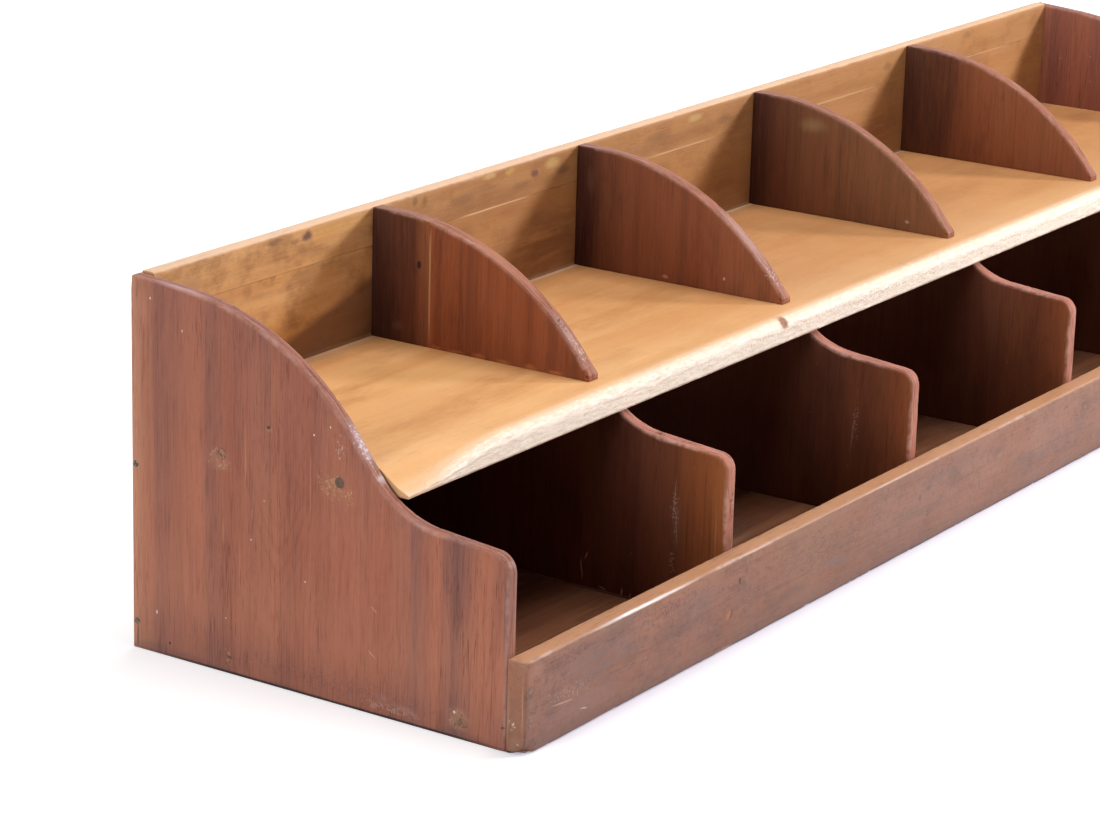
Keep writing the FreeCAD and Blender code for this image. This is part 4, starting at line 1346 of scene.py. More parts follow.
@dataclass
class UpperDivider:
    """A quarter-round divider on the shelf, or one of the two boards of the first, in mm."""

    node: str
    rear: float = 9.5
    flat: float = 21.5
    front: float = 173.0
    foot: float = 145.0
    top: float = 227.5
    tip: float = 148.5
    edge_radius: float = 2.2
    first_depth: float = 0.0
    last_depth: float = 1000.0
    seed: float = 11.0
    marks: tuple[Mark, ...] = ()
    drifts: tuple[Drift, ...] = ()

    def crown(self) -> tuple[float, float]:
        """Works out the arc that joins the flat top to the tip.

        Returns:
            The arc's radius and the height of its centre.
        """
        reach, drop = self.front - self.flat, self.top - self.tip
        radius = (reach * reach + drop * drop) / (2 * drop)
        return radius, self.top - radius

    def height_at(self, depth: float) -> float:
        """Returns the crown's height at a depth."""
        radius, centre = self.crown()
        return centre + math.sqrt(radius * radius - max(0.0, depth - self.flat) ** 2)

    def arc_corner(self, first: float, last: float, arris: float) -> Corner:
        """Returns the corner whose rounding is the crown's arc between two depths.

        Args:
            first: The arc's rear depth.
            last: Its front depth.
            arris: Its arris radius.

        Returns:
            The corner where the tangents at both depths meet.
        """
        radius, centre = self.crown()
        start = math.asin(max(0.0, first - self.flat) / radius)
        end = math.asin((last - self.flat) / radius)
        out = radius / math.cos((end - start) / 2)
        middle = (start + end) / 2
        depth, height = self.flat + out * math.sin(middle), centre + out * math.cos(middle)
        return Corner(REAR - depth, height, radius - 0.0005, arris)

    def outline(self) -> Outline:
        """Sets out this board of the divider: its rear part, its front part or the whole.

        Returns:
            The outline, from its front foot round.
        """
        edge = self.edge_radius
        first, last = max(self.rear, self.first_depth), min(self.front, self.last_depth)
        foot, tip = Corner(REAR - last, self.foot, 0.5, 0.5), Corner(REAR - last, self.tip, 0.7, 0.7)
        rear_foot, rear_top = Corner(REAR - first, self.foot, 0.6, 0.6), Corner(REAR - first, self.top, 0.6, edge * 0.6)
        if self.last_depth < self.front:
            foot = Corner(REAR - last, self.foot, 0.25, 0.5)
            tip = Corner(REAR - last, self.height_at(last), 0.25, 0.25)
        if self.first_depth > self.flat:
            rear_foot = Corner(REAR - first, self.foot, 0.25, 0.25)
            rear_top = Corner(REAR - first, self.height_at(first), 0.25, edge)
        arc = self.arc_corner(max(first, self.flat), last, edge)
        return Outline([foot, rear_foot, rear_top, arc, tip], step=1.8)

    def build(self) -> None:
        """Builds and dresses the divider."""
        low, high = span(self.node)
        timber = Timber(self.outline(), low.x + SKIN, high.x - SKIN, seed=self.seed, wear=Wear(wobble=0.16, chips=0.4))
        material = RED_INSIDE.dress(f"{self.node}_finish", self.seed, self.marks, self.drifts)
        place_piece(timber.build(f"{self.node}_timber"), self.node, RED_INSIDE.slot, material)


@dataclass
class LowerDivider:
    """A divider under the shelf, with the same ledge and hollow as the ends, in mm."""

    node: str
    rear: float = 9.5
    foot: float = 9.5
    top: float = 128.5
    depth: float = 267.0
    front_height: float = 113.0
    ledge: float = math.radians(5.0)
    ledge_length: float = 50.0
    hollow_radius: float = 60.0
    nose_radius: float = 10.0
    edge_radius: float = 2.4
    seed: float = 21.0
    marks: tuple[Mark, ...] = ()
    drifts: tuple[Drift, ...] = ()

    def outline(self) -> Outline:
        """Sets out the divider, with the hollow cut off under the shelf.

        Returns:
            The outline, from its rear foot round.
        """
        start = Vector((self.depth - self.ledge_length, self.front_height + self.ledge_length * math.tan(self.ledge)))
        end = math.acos(math.cos(self.ledge) - (self.top - start.y) / self.hollow_radius)
        along = self.hollow_radius * math.tan((end - self.ledge) / 2)
        meet = start + Vector((-math.cos(self.ledge), math.sin(self.ledge))) * along
        stop = meet + Vector((-math.cos(end), math.sin(end))) * along
        corners = [
            Corner(REAR - self.rear, self.foot, 0.6, 0.6), Corner(REAR - self.rear, self.top, 0.6, 0.6),
            Corner(REAR - stop.x, self.top, 0.4, self.edge_radius * 0.8),
            Corner(REAR - meet.x, meet.y, self.hollow_radius - 0.6, self.edge_radius),
            Corner(REAR - self.depth, self.front_height, self.nose_radius, self.edge_radius),
            Corner(REAR - self.depth, self.foot, 0.6, 0.6),
        ]
        return Outline(corners, step=1.8)

    def build(self) -> None:
        """Builds and dresses the divider."""
        low, high = span(self.node)
        wear = Wear(wobble=0.3, chips=0.6)
        timber = Timber(self.outline(), low.x + SKIN, high.x - SKIN, seed=self.seed, wear=wear)
        material = RED_SHADED.dress(f"{self.node}_finish", self.seed, self.marks, self.drifts)
        place_piece(timber.build(f"{self.node}_timber"), self.node, RED_SHADED.slot, material)


@dataclass
class LongBoard:
    """A board that runs the sorter's whole length: back, shelf, bottom or rail, in mm."""

    node: str
    finish: WoodFinish
    radii: tuple[float, float, float, float] = (0.5, 0.5, 0.5, 0.5)
    step: float = 3.0
    outline_step: float = 3.0
    end_arris: float = 0.7
    seed: float = 31.0
    wear: Wear = field(default_factory=Wear)
    marks: tuple[Mark, ...] = ()
    drifts: tuple[Drift, ...] = ()
    foot_skin: float = SKIN
    top_skin: float = SKIN

    def outline(self, low: Vector, high: Vector) -> Outline:
        """Returns the board's section, from its front foot: front foot, rear foot, rear top, front top.

        Args:
            low: The lowest corner of the board's box.
            high: Its highest corner.

        Returns:
            The section's outline.
        """
        front_foot, rear_foot, rear_top, front_top = self.radii
        corners = [
            Corner(low.y + SKIN, low.z + self.foot_skin, front_foot, self.end_arris),
            Corner(high.y - SKIN, low.z + self.foot_skin, rear_foot, self.end_arris),
            Corner(high.y - SKIN, high.z - self.top_skin, rear_top, self.end_arris),
            Corner(low.y + SKIN, high.z - self.top_skin, front_top, self.end_arris),
        ]
        return Outline(corners, step=self.outline_step)

    def build(self) -> None:
        """Builds and dresses the board."""
        low, high = span(self.node)
        timber = Timber(
            self.outline(low, high), low.x + SKIN, high.x - SKIN, long=True, step=self.step, seed=self.seed,
            wear=self.wear,
        )
        material = self.finish.dress(f"{self.node}_finish", self.seed, self.marks, self.drifts)
        place_piece(timber.build(f"{self.node}_timber"), self.node, self.finish.slot, material)


@dataclass
class Fillers:
    """The filler over the sunk nails of one end: uneven discs, a little domed, in mm."""

    node: str
    mirrored: bool
    places: tuple[tuple[float, float, float], ...] = (
        (66.5, 132.5, 3.5), (151, 132.5, 3.5), (72, 7.2, 2.4), (237, 7.2, 2.4),
    )
    thickness: float = 1.9
    rings: int = 6
    spokes: int = 28

    def build(self) -> None:
        """Builds and dresses the discs."""
        side = 1.0 if self.mirrored else -1.0
        shape = bmesh.new()
        rim = shape.verts.layers.float.new("rim")
        for depth, height, radius in self.places:
            self.disc(shape, rim, side, Vector((REAR - depth, height)), radius)
        bmesh.ops.recalc_face_normals(shape, faces=shape.faces)
        piece = link_mesh(shape, f"{self.node}_filler", 50.0)
        place_piece(piece, self.node, "wood_filler", FillerFinish().dress(f"{self.node}_finish", side * 0.3))

    def disc(
        self, shape: bmesh.types.BMesh, rim: bmesh.types.BMLayerItem, side: float, middle: Vector, radius: float,
    ) -> None:
        """Adds one disc.

        Args:
            shape: The mesh so far.
            rim: The layer that tells how near the disc's border is.
            side: Which end it is on: -1 the left, 1 the right.
            middle: The disc's place in (y, z).
            radius: Its radius.
        """
        face = -side * LEFT - side * 0.012
        centre = shape.verts.new((face, *middle))
        centre[rim] = 0.0
        rings = []
        for j in range(1, self.rings + 1):
            share = j / self.rings
            ring = []
            for k in range(self.spokes):
                angle = 2 * math.pi * k / self.spokes
                uneven = 1.0 + 0.06 * noise.noise(Vector((middle.x, angle * 2.0, middle.y)))
                flat = middle + Vector((math.cos(angle), math.sin(angle))) * radius * share * min(uneven, 1.0)
                rough = 0.03 * abs(noise.noise(Vector((flat.x, flat.y, 3.0)) * 1.3))
                made = shape.verts.new((face - side * (0.05 * share ** 4 + rough), *flat))
                made[rim] = share
                ring.append(made)
            rings.append(ring)
        deep = [shape.verts.new((vert.co.x - side * self.thickness, vert.co.y, vert.co.z)) for vert in rings[-1]]
        rings.append(deep)
        for vert in deep:
            vert[rim] = 1.0
        for k in range(self.spokes):
            after = (k + 1) % self.spokes
            shape.faces.new((centre, rings[0][k], rings[0][after]))
            for inner, outer in zip(rings, rings[1:]):
                shape.faces.new((inner[k], outer[k], outer[after], inner[after]))
        shape.faces.new(deep)


@dataclass
class Nails:
    """The nails, which stay as the CAD has them and get a finish."""

    dark: tuple[str, ...] = (
        "back_upper_nails", "back_lower_nails", "back_shelf_nails", "back_bottom_nails", "upper_foot_nails",
        "lower_foot_nails",
    )
    covered: tuple[str, ...] = ("rail_nails",)
    rubbed: tuple[str, ...] = ("left_end_nails", "right_end_nails")

    def dress(self) -> None:
        """Gives every nail its material."""
        for nodes, finish, name in (
            (self.dark, NailFinish(), "dull_nail"), (self.rubbed, NailFinish(shine=0.8), "rubbed_nail"),
            (self.covered, WAXED_NAIL, "waxed_nail"),
        ):
            material = finish.dress(name)
            for node in nodes:
                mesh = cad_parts[node].data
                if not mesh.materials:
                    mesh.materials.append(material)
                for index in range(len(mesh.materials)):
                    mesh.materials[index] = material
                LOG.info("%s: %s", node, name)


@dataclass
class Sorter:
    """The whole mail sorter: its boards, fillers and nails."""

    shelf_front: float = -52.0

    def back(self) -> list[LongBoard]:
        """Sets out the back's two boards, with what has stained them, the dividers' painted shadows and painted shade
        below the shelf.

        Returns:
            The upper board and the lower one.
        """
        stains = tuple(
            Mark((x, BACK_FACE, z), (w * 1.3, 3, h * 1.2), tone, strength, 0.7, 1.8)
            for x, z, w, h, tone, strength in (
                (-424.7, 221.4, 5.5, 3.6, (0.12, 0.055, 0.06), 0.85), (-456, 224, 7, 2.2, (0.2, 0.1, 0.06), 0.6),
                (-436.5, 220.6, 5, 2.2, (0.2, 0.1, 0.06), 0.5), (-314, 222.5, 3.4, 3.4, (0.2, 0.1, 0.04), 0.6),
                (-303.4, 220.8, 3, 4, (0.2, 0.1, 0.04), 0.55), (-209.1, 223.6, 6, 2.6, (0.62, 0.42, 0.12), 0.5),
                (-180, 217, 5, 3.2, (0.16, 0.07, 0.07), 0.75), (-160, 221, 9, 4, (0.66, 0.46, 0.18), 0.5),
                (-535, 213.8, 12, 6, (0.4, 0.24, 0.13), 0.4), (-240, 217, 18, 3, (0.3, 0.15, 0.07), 0.4),
                (110, 222, 6, 3, (0.2, 0.09, 0.05), 0.6), (300, 216, 7, 4, (0.2, 0.09, 0.05), 0.5),
                (430, 221, 8, 3, (0.24, 0.12, 0.06), 0.5), (-262, 214, 14, 4.5, (0.22, 0.11, 0.05), 0.55),
                (-232, 224.5, 8, 2.4, (0.68, 0.5, 0.22), 0.55), (-147, 214, 9, 4, (0.2, 0.1, 0.05), 0.6),
                (-196, 212, 10, 3, (0.24, 0.12, 0.055), 0.5), (-30, 216, 16, 4, (0.22, 0.11, 0.05), 0.5),
                (60, 214, 12, 3.5, (0.22, 0.11, 0.05), 0.5), (20, 222, 10, 3, (0.64, 0.46, 0.2), 0.5),
            )
        )
        line, front = Face(1, BACK_FACE, 2.0), Face(1, BACK_FACE)
        seams = line.marks(
            (-225, 202.9, 48, 0.8, (0.78, 0.52, 0.32), 0.8, 0.6, 0.6, 0, BOX),
            (0, 203, 55, 0.8, (0.74, 0.48, 0.28), 0.7, 0.6, 0.6, 0, BOX),
            (220, 203, 70, 0.8, (0.74, 0.48, 0.28), 0.6, 0.6, 0.6, 0, BOX),
            (450, 203, 60, 0.7, (0.74, 0.48, 0.28), 0.5, 0.6, 0.6, 0, BOX),
        )
        heart = front.marks(
            (-215, 209, 120, 8.5, (0.27, 0.12, 0.05), 0.6, 1, 7, -1.5),
            (10, 210, 110, 7.5, (0.27, 0.12, 0.05), 0.55, 1, 7, -1.5),
            (240, 209, 110, 7, (0.3, 0.135, 0.055), 0.5, 1, 7),
            (460, 210, 90, 7, (0.3, 0.135, 0.055), 0.45, 1, 7),
        )
        # Dirt on the inner face, and the dividers' shadows painted onto it.
        dark_patches = front.marks(
            # Painted shadow of the first divider, falling down to the left over the back in the first bay.
            (-404, 151, 76, 22.5, (0.16, 0.068, 0.038), 0.78, 0.35, 2.5, -16, BOX),
            (-470, 206, 5, 5, (0.3, 0.14, 0.055), 0.55, 0.6, 1.5),
            (-482, 198, 6, 5, (0.34, 0.16, 0.065), 0.5, 0.7, 2),
            (-458, 203, 4.5, 4, (0.28, 0.13, 0.05), 0.55, 0.6, 1.5),
            (-505, 212, 26, 12, (0.38, 0.2, 0.08), 0.5, 0.9, 2, 0, FLECKS),
            (-470, 196, 26, 6, (0.36, 0.18, 0.075), 0.5, 1, 8),
            # Painted shadow to the left of the second divider.
            (-165, 166, 62, 34, (0.2, 0.08, 0.034), 0.68, 0.9, 7),
            (-262, 192, 20, 8, (0.27, 0.12, 0.045), 0.5, 0.9, 5),
            (-208, 196, 24, 5.5, (0.27, 0.12, 0.045), 0.45, 0.9, 5),
            (-176, 187, 14, 10, (0.25, 0.11, 0.042), 0.45, 0.9, 5),
            (-30, 192, 24, 8, (0.25, 0.11, 0.042), 0.45, 0.9, 5),
            # The second mark on this line and the one below: painted shadows to the left of the third and fourth
            # dividers.
            (-290, 180, 30, 18, (0.3, 0.13, 0.05), 0.5, 1, 9), (60, 166, 60, 32, (0.24, 0.1, 0.04), 0.55, 1, 9),
            (290, 166, 60, 32, (0.24, 0.1, 0.04), 0.55, 1, 9),
        )
        top = Drift("Z", (
            (222, (0.5, 0.25, 0.1), 0), (226.6, (0.64, 0.36, 0.19), 0.25), (227.6, (0.74, 0.5, 0.33), 0.8),
            (228, (0.76, 0.52, 0.36), 0.85),
        ), 0.4)
        bays = Drift("X", (
            (-577, (0.45, 0.21, 0.08), 0), (-345, (0.45, 0.21, 0.08), 0), (-335, (0.32, 0.14, 0.054), 0.62),
            (-120, (0.34, 0.15, 0.058), 0.66), (577, (0.34, 0.15, 0.058), 0.66),
        ), 6.0, before=131.5)
        dust = front.marks((0, SHELF_TOP, 570, 2.4, (0.55, 0.36, 0.24), 0.6, 0.8, 2, 0, BOX))
        shade = Drift("Z", (
            (120, (0.1, 0.05, 0.03), 0.85), (128, (0.1, 0.05, 0.03), 0.85), (136, (0.4, 0.2, 0.09), 0),
            (228, (0.4, 0.2, 0.09), 0),
        ), 1.0, before=131.5)
        return [
            LongBoard(
                "back_upper_board", GOLDEN_BACK, (0.02, 0.3, 1.4, 1.4), seed=31.0, marks=(*heart, *stains, *seams),
                drifts=(bays, top), wear=Wear(wobble=0.25, chips=0.5), foot_skin=0.0,
            ),
            LongBoard(
                "back_lower_board", GOLDEN_BACK, (0.5, 0.6, 0.3, 0.02), seed=33.0,
                marks=(stains[8], *dark_patches, *seams, *dust), drifts=(bays, shade), outline_step=5.0, step=6.0,
                top_skin=0.0,
            ),
        ]

    def shelf(self) -> LongBoard:
        """Sets out the shelf, with its rubbed nose and torn front.

        Returns:
            The board.
        """
        y = self.shelf_front
        thick, top = Face(2, SHELF_TOP, 4.0), Face(2, SHELF_TOP)
        marks = (
            Mark((-157, y + 3, 142.5), (8.5, 9, 8), (0.55, 0.31, 0.19), 0.5, 0.8, 1.5),
            Mark((-157, y + 2.6, 142), (5.6, 6, 5.4), (0.3, 0.125, 0.06), 0.9, 0.5, 1),
            Mark((-155.5, y + 2.6, 141), (3.2, 4, 2.4), (0.2, 0.08, 0.045), 0.7, 0.7, 1),
            *thick.marks((-555.7, -48, 7, 4.5, (0.5, 0.25, 0.11), 0.4, 0.9, 1.6, 0, RING)),
            *top.marks((-555.7, -48, 3.2, 2, (0.5, 0.24, 0.12), 0.4, 0.8, 1)),
            *thick.marks((-540, -44, 5.5, 3.2, (0.52, 0.27, 0.12), 0.35, 0.9, 1.6, 0, RING)),
            Mark((0, y, 136.5), (577, 3.4, 8.5), (0.56, 0.37, 0.26), 0.42, 0.9, 1.5, shape=FLECKS),
            Mark((-562, -50, 137), (48, 12, 14), (0.76, 0.42, 0.19), 0.9, 0.9, 3),
            *top.marks(
                (-420, 30, 70, 16, (0.76, 0.44, 0.2), 0.35, 1, 6),
                # Painted shade: a darker strip along the back board in the first bay.
                (-455, 125, 100, 9, (0.5, 0.28, 0.16), 0.5, 0.9, 3, 0, BOX),
            ),
            Mark((0, 128.5, 145), (570, 3, 2), (0.7, 0.5, 0.36), 0.6, 0.8, 2, shape=BOX),
        )
        # The torn nose is pale; towards the rear the top darkens, a painted shade by the back board.
        front = Drift("Y", (
            (-52, (0.97, 0.82, 0.71), 0.97), (-49.6, (0.95, 0.75, 0.6), 0.9), (-46, (0.88, 0.62, 0.42), 0.6),
            (-40, (0.78, 0.46, 0.22), 0.4), (10, (0.72, 0.39, 0.17), 0.2), (60, (0.6, 0.3, 0.12), 0),
            (110, (0.6, 0.3, 0.12), 0.2), (130, (0.5, 0.26, 0.12), 0.6),
        ), 1.6)
        bays = Drift("X", (
            (-577, (0.6, 0.28, 0.1), 0.1), (-480, (0.6, 0.28, 0.1), 0), (-330, (0.6, 0.28, 0.1), 0),
            (-200, (0.52, 0.23, 0.085), 0.45), (-60, (0.44, 0.195, 0.08), 0.65), (577, (0.44, 0.195, 0.08), 0.65),
        ), 10.0)
        under = Drift("Z", (
            (128.5, (0.3, 0.15, 0.08), 0.8), (129.4, (0.3, 0.15, 0.08), 0.7), (130.2, (0.86, 0.66, 0.52), 0),
            (145, (0.74, 0.43, 0.2), 0),
        ), 0.2)
        return LongBoard(
            "shelf_board", GOLDEN_SHELF, (0.9, 0.5, 0.5, 7.0), seed=41.0, step=2.5, outline_step=1.4,
            wear=Wear(wobble=0.5, chips=0.9, threshold=0.35, slump=0.82, torn_front=0.42), marks=marks,
            drifts=(bays, front, under),
        )

    def bottom(self) -> LongBoard:
        """Sets out the bottom board, the floor of the lower bays.

        Returns:
            The board.
        """
        marks = Face(2, FLOOR_TOP).marks(
            (-430, 20, 60, 40, (0.2, 0.12, 0.09), 0.4, 0.9, 8),
            (-220, -10, 80, 60, (0.24, 0.155, 0.125), 0.8, 1, 8),
        )
        return LongBoard("bottom_board", BROWN_FLOOR, seed=51.0, outline_step=6.0, step=6.0, marks=marks)

    def rail(self) -> LongBoard:
        """Sets out the rail across the front, with its end grain beside the left end panel.

        Returns:
            The board.
        """
        y = RAIL_FACE
        face, end = Face(1, RAIL_FACE), Face(0, LEFT)
        marks = (
            *face.marks(
                (-235, 20, 22, 5, (0.2, 0.13, 0.13), 0.6, 0.9, 5, 8),
                (-351.5, 40, 1.7, 2.6, (0.08, 0.035, 0.025), 0.85, 0.5, 0.9),
                (-352.5, 35, 1.5, 3.2, (0.18, 0.07, 0.04), 0.7, 0.6, 1.2),
                (-356.5, 37.5, 2.2, 2.4, (0.2, 0.09, 0.06), 0.4, 0.8, 1.5),
                (-362.5, 21.5, 4.6, 2.8, (0.42, 0.16, 0.06), 0.75, 0.6, 1.2, -38),
                (-360, 21, 1.2, 4.4, (0.09, 0.045, 0.03), 0.75, 0.6, 0.9, 35),
                (-126, 33.5, 2.2, 3.6, (0.13, 0.07, 0.04), 0.7, 0.6, 0.9),
                (-250, 46, 4.5, 2.8, (0.18, 0.11, 0.06), 0.45, 0.8, 1.8),
                (-180, 47, 30, 1.8, (0.15, 0.09, 0.07), 0.4, 0.9, 2.5, -4),
                (-505, 34, 70, 20, (0.2, 0.125, 0.12), 0.55, 0.9, 12),
                (-520, 14, 60, 10, (0.3, 0.17, 0.15), 0.45, 1, 8),
                (-395, 40, 40, 8, (0.17, 0.1, 0.095), 0.5, 1, 8, 4),
                (-90, 40, 60, 7, (0.18, 0.105, 0.09), 0.5, 1, 8, -3),
                (40, 20, 70, 9, (0.16, 0.09, 0.08), 0.45, 1, 8, 4),
                (-572, 38, 4, 3.5, (0.07, 0.04, 0.035), 0.7, 0.7, 1.6),
                (-574.5, 28, 1.6, 24, (0.13, 0.08, 0.07), 0.6, 0.8, 1.4),
                (-540, 21, 14, 0.8, (0.55, 0.33, 0.22), 0.6, 0.6, 1, 6),
                (-518, 11, 5, 0.6, (0.62, 0.45, 0.36), 0.7, 0.6, 0.8, 12),
                (-560, 10, 6, 5, (0.17, 0.1, 0.07), 0.45, 0.9, 2.5),
            ),
            # Painted highlight: a pale line along the top front arris at the left end.
            Mark((-455, y + 0.6, 54.4), (66, 1.7, 1.6), (0.95, 0.84, 0.84), 0.92, 0.8, 1.2),
            *face.marks(
                (-530, 47, 44, 9, (0.1, 0.05, 0.048), 0.5, 1, 1.5, 0, FLECKS),
                (-430, 46, 60, 8, (0.1, 0.05, 0.045), 0.5, 0.9, 1.5, 0, FLECKS),
                (-250, 32, 120, 22, (0.12, 0.065, 0.05), 0.45, 0.9, 1.5, 0, FLECKS),
                (-535, 26, 42, 9, (0.5, 0.3, 0.2), 0.35, 1, 1.5, 5, FLECKS),
                (-566, 48, 10, 7, (0.4, 0.2, 0.155), 0.5, 0.9, 2),
            ),
            # Fainter painted highlights further along the same arris.
            Mark((-335, y + 0.6, 54.6), (46, 1.2, 0.9), (0.7, 0.5, 0.42), 0.6, 0.9, 1.4),
            Mark((-160, y + 0.6, 54.6), (90, 1.2, 0.9), (0.66, 0.45, 0.36), 0.5, 0.9, 1.4),
            *face.marks(
                (-420, 30, 34, 8, (0.13, 0.07, 0.06), 0.55, 1, 6, 5),
                (-300, 14, 50, 6, (0.15, 0.085, 0.075), 0.5, 1, 6, -3),
                (-120, 25, 60, 7, (0.16, 0.09, 0.07), 0.5, 1, 6, 4),
                # Painted shadow: a dark line along the rail's foot, where it meets the floor.
                (0, 0, 585, 2, (0.03, 0.017, 0.016), 0.85, 0.6, 0.6, 0, BOX),
            ),
            *end.marks(
                # Painted shadow: the same dark line at the foot of the end grain.
                (-133, 0, 9, 2.3, (0.02, 0.011, 0.01), 0.95, 0.5, 0.5, 0, BOX),
                (-131, 17.5, 3.4, 4, WHITE_DUST, 0.7, 0.8, 0.8, 0, FLECKS),
                (-134.6, 6, 0.8, 0.8, WHITE_DUST, 0.9, 0.6, 0.4),
                (-137.9, 28, 0.8, 26, (0.48, 0.3, 0.2), 0.42, 0.8, 0.8),
                (-128.4, 24, 1.4, 22, (0.33, 0.19, 0.13), 0.6, 0.7, 1),
                (-133.5, 6, 6, 7, (0.3, 0.17, 0.12), 0.6, 0.9, 2),
            ),
        )
        streaks = tuple(
            Mark((x, y, z), (w, 3, h), (0.13, 0.068, 0.058), 0.42, 1, 2.5, (0, turn, 0))
            for x, z, w, h, turn in (
                (-465, 27, 60, 1.3, 2), (-385, 31, 70, 1, -1), (-310, 23, 75, 1.5, 1),
                (-215, 27.5, 62, 1.4, 3), (-160, 14, 70, 1.1, 0), (-60, 32, 60, 1.3, -2),
                (60, 25, 80, 1.4, 1), (220, 30, 80, 1.3, -1), (400, 22, 90, 1.4, 1),
            )
        )
        dents = (
            Dent((-577, -140, 0), 11, 3.4), Dent((-577, -140, 56), 7, 2),
            Dent((-576, -133, 56), 4, 0.8), Dent((-566, -140, 56), 5, 0.8),
            Dent((577, -140, 0), 6, 2), Dent((577, -140, 56), 6, 1.6),
        )
        length = Drift("X", (
            (-577, (0.3, 0.14, 0.1), 0), (-520, (0.26, 0.126, 0.095), 0.5), (-430, (0.31, 0.13, 0.08), 0.3),
            (-330, (0.25, 0.115, 0.075), 0.35), (-280, (0.28, 0.13, 0.077), 0.6), (-150, (0.24, 0.11, 0.073), 0.45),
            (0, (0.26, 0.124, 0.079), 0.4), (577, (0.24, 0.115, 0.076), 0.4),
        ), 12.0)
        rise = Drift("Z", (
            (0, (0.16, 0.1, 0.095), 0.6), (4, (0.2, 0.12, 0.1), 0.4), (14, (0.3, 0.16, 0.11), 0.1),
            (46, (0.34, 0.18, 0.12), 0), (53.6, (0.4, 0.22, 0.13), 0.2), (55.2, (0.50, 0.25, 0.13), 0.85),
            (55.5, (0.50, 0.25, 0.13), 0.9),
        ), 1.4)
        return LongBoard(
            "front_rail", BROWN_RAIL, (1.2, 0.5, 1.6, 1.8), seed=61.0, step=2.5, outline_step=2.5, end_arris=1.1,
            wear=Wear(wobble=0.5, chips=0.7, threshold=0.38, dents=dents), marks=(*marks, *streaks),
            drifts=(length, rise),
        )

    def upper_dividers(self) -> list[UpperDivider]:
        """Sets out the boards that stand on the shelf.

        Returns:
            The two boards of the first divider, then the others from left to right.
        """
        # The Y drifts darken each divider's face towards the back board, to near black at it: painted shade in the
        # corner with the back, on top of a darker stain.
        dark: Tone = (0.055, 0.022, 0.014)
        rear_shade_1 = Drift("Y", (
            (86.5, (0.26, 0.1, 0.045), 0.6), (92, (0.2, 0.075, 0.036), 0.6), (99, dark, 0.7),
            (BACK_FACE, (0.04, 0.016, 0.012), 0.92),
        ), 1.5)
        x1, x2, x3 = -358.75, -129.75, 99.25
        face_1, face_2, face_3 = (Face(0, x, 2.0) for x in (x1, x2, x3))
        glue = tuple(
            Mark((x1, y, 146.2), (2, w, h), (0.5, 0.17, 0.06), 0.6, 0.8, 2.4)
            for y, w, h in (
                (80, 6, 2.2), (66, 9, 1.6), (48, 7, 2.8), (30, 9, 2), (10, 8, 2.6),
                (-8, 7, 1.8),
            )
        )
        front_1 = (
            *face_1.marks((57, 180, 3, 44, (0.16, 0.06, 0.035), 0.55, 0.8, 0.8)),
            *glue,
            Mark((x1 + 4.5, -14, 169), (6, 26, 5), (0.5, 0.36, 0.34), 0.5, 0.9, 1.5, (49, 0, 0)),
            Mark((x1 + 4.5, -12, 171.5), (6, 26, 5), PITCH, 0.7, 0.8, 1.5, (49, 0, 0), FLECKS),
            Mark((x1 + 4.5, -20, 163), (6, 20, 5), (0.68, 0.54, 0.5), 0.55, 0.8, 1.5, (50, 0, 0), FLECKS),
            Mark((x1 + 4.5, 40, 209), (6, 30, 5), (0.46, 0.2, 0.11), 0.5, 0.9, 2, (25, 0, 0)),
            *face_1.marks((86, 185, 1.2, 46, (0.48, 0.25, 0.12), 0.8, 0.7, 0.6, 0, BOX)),
        )
        rear_marks = face_1.marks(
            (94.3, 196.5, 1.7, 3, PITCH, 0.95, 0.4, 0.6, 0, SPOT, 3),
            (110, 155, 6, 5, (0.25, 0.12, 0.08), 0.25, 0.9, 3),
            (128.5, 185, 1.2, 42, (0.05, 0.03, 0.03), 0.8, 0.7, 0.6),
        )
        shade_2 = Drift("Y", (
            (-33, (0.25, 0.1, 0.055), 0.2), (0, (0.28, 0.11, 0.06), 0.3), (38, (0.2, 0.07, 0.04), 0.2),
            (44, (0.15, 0.055, 0.032), 0.65), (50, (0.18, 0.064, 0.036), 0.45), (88, (0.17, 0.062, 0.034), 0.5),
            (104, dark, 0.5), (122, (0.04, 0.013, 0.009), 0.92), (130.5, (0.035, 0.012, 0.008), 0.95),
        ), 3.0)
        marks_2 = (
            *face_2.marks((57.7, 148.6, 3.4, 1.8, (0.5, 0.24, 0.17), 0.75, 0.7, 1)),
            Mark((x2 + 4.5, 0, 184), (6, 44, 6), (0.5, 0.33, 0.3), 0.5, 0.9, 2, (43, 0, 0)),
            Mark((x2 + 4.5, -22, 161), (6, 16, 5), (0.66, 0.52, 0.5), 0.5, 0.8, 1.5, (50, 0, 0), FLECKS),
            *face_2.marks(
                (12, 154.9, 1.2, 1.4, (0.6, 0.4, 0.3), 0.8, 0.6, 0.4),
                (119, 205, 6, 14, (0.26, 0.12, 0.08), 0.15, 0.9, 2),
            ),
        )
        shade_3 = Drift("Y", (
            (-33, (0.2, 0.11, 0.05), 0.5), (30, (0.17, 0.09, 0.045), 0.6), (80, (0.13, 0.07, 0.035), 0.6),
            (104, dark, 0.7), (122, (0.04, 0.013, 0.009), 0.92), (130.5, (0.035, 0.012, 0.008), 0.95),
        ), 5.0)
        marks_3 = face_3.marks(
            (0, 152, 2.4, 1.6, (0.4, 0.34, 0.3), 0.7, 0.6, 0.6), (80, 210, 16, 8, (0.3, 0.2, 0.1), 0.5, 0.9, 3),
        )
        shade_4 = Drift("Y", (
            (-33, (0.24, 0.1, 0.05), 0.3), (60, (0.22, 0.09, 0.045), 0.3), (100, dark, 0.6), (130.5, dark, 0.85),
        ), 4.0)
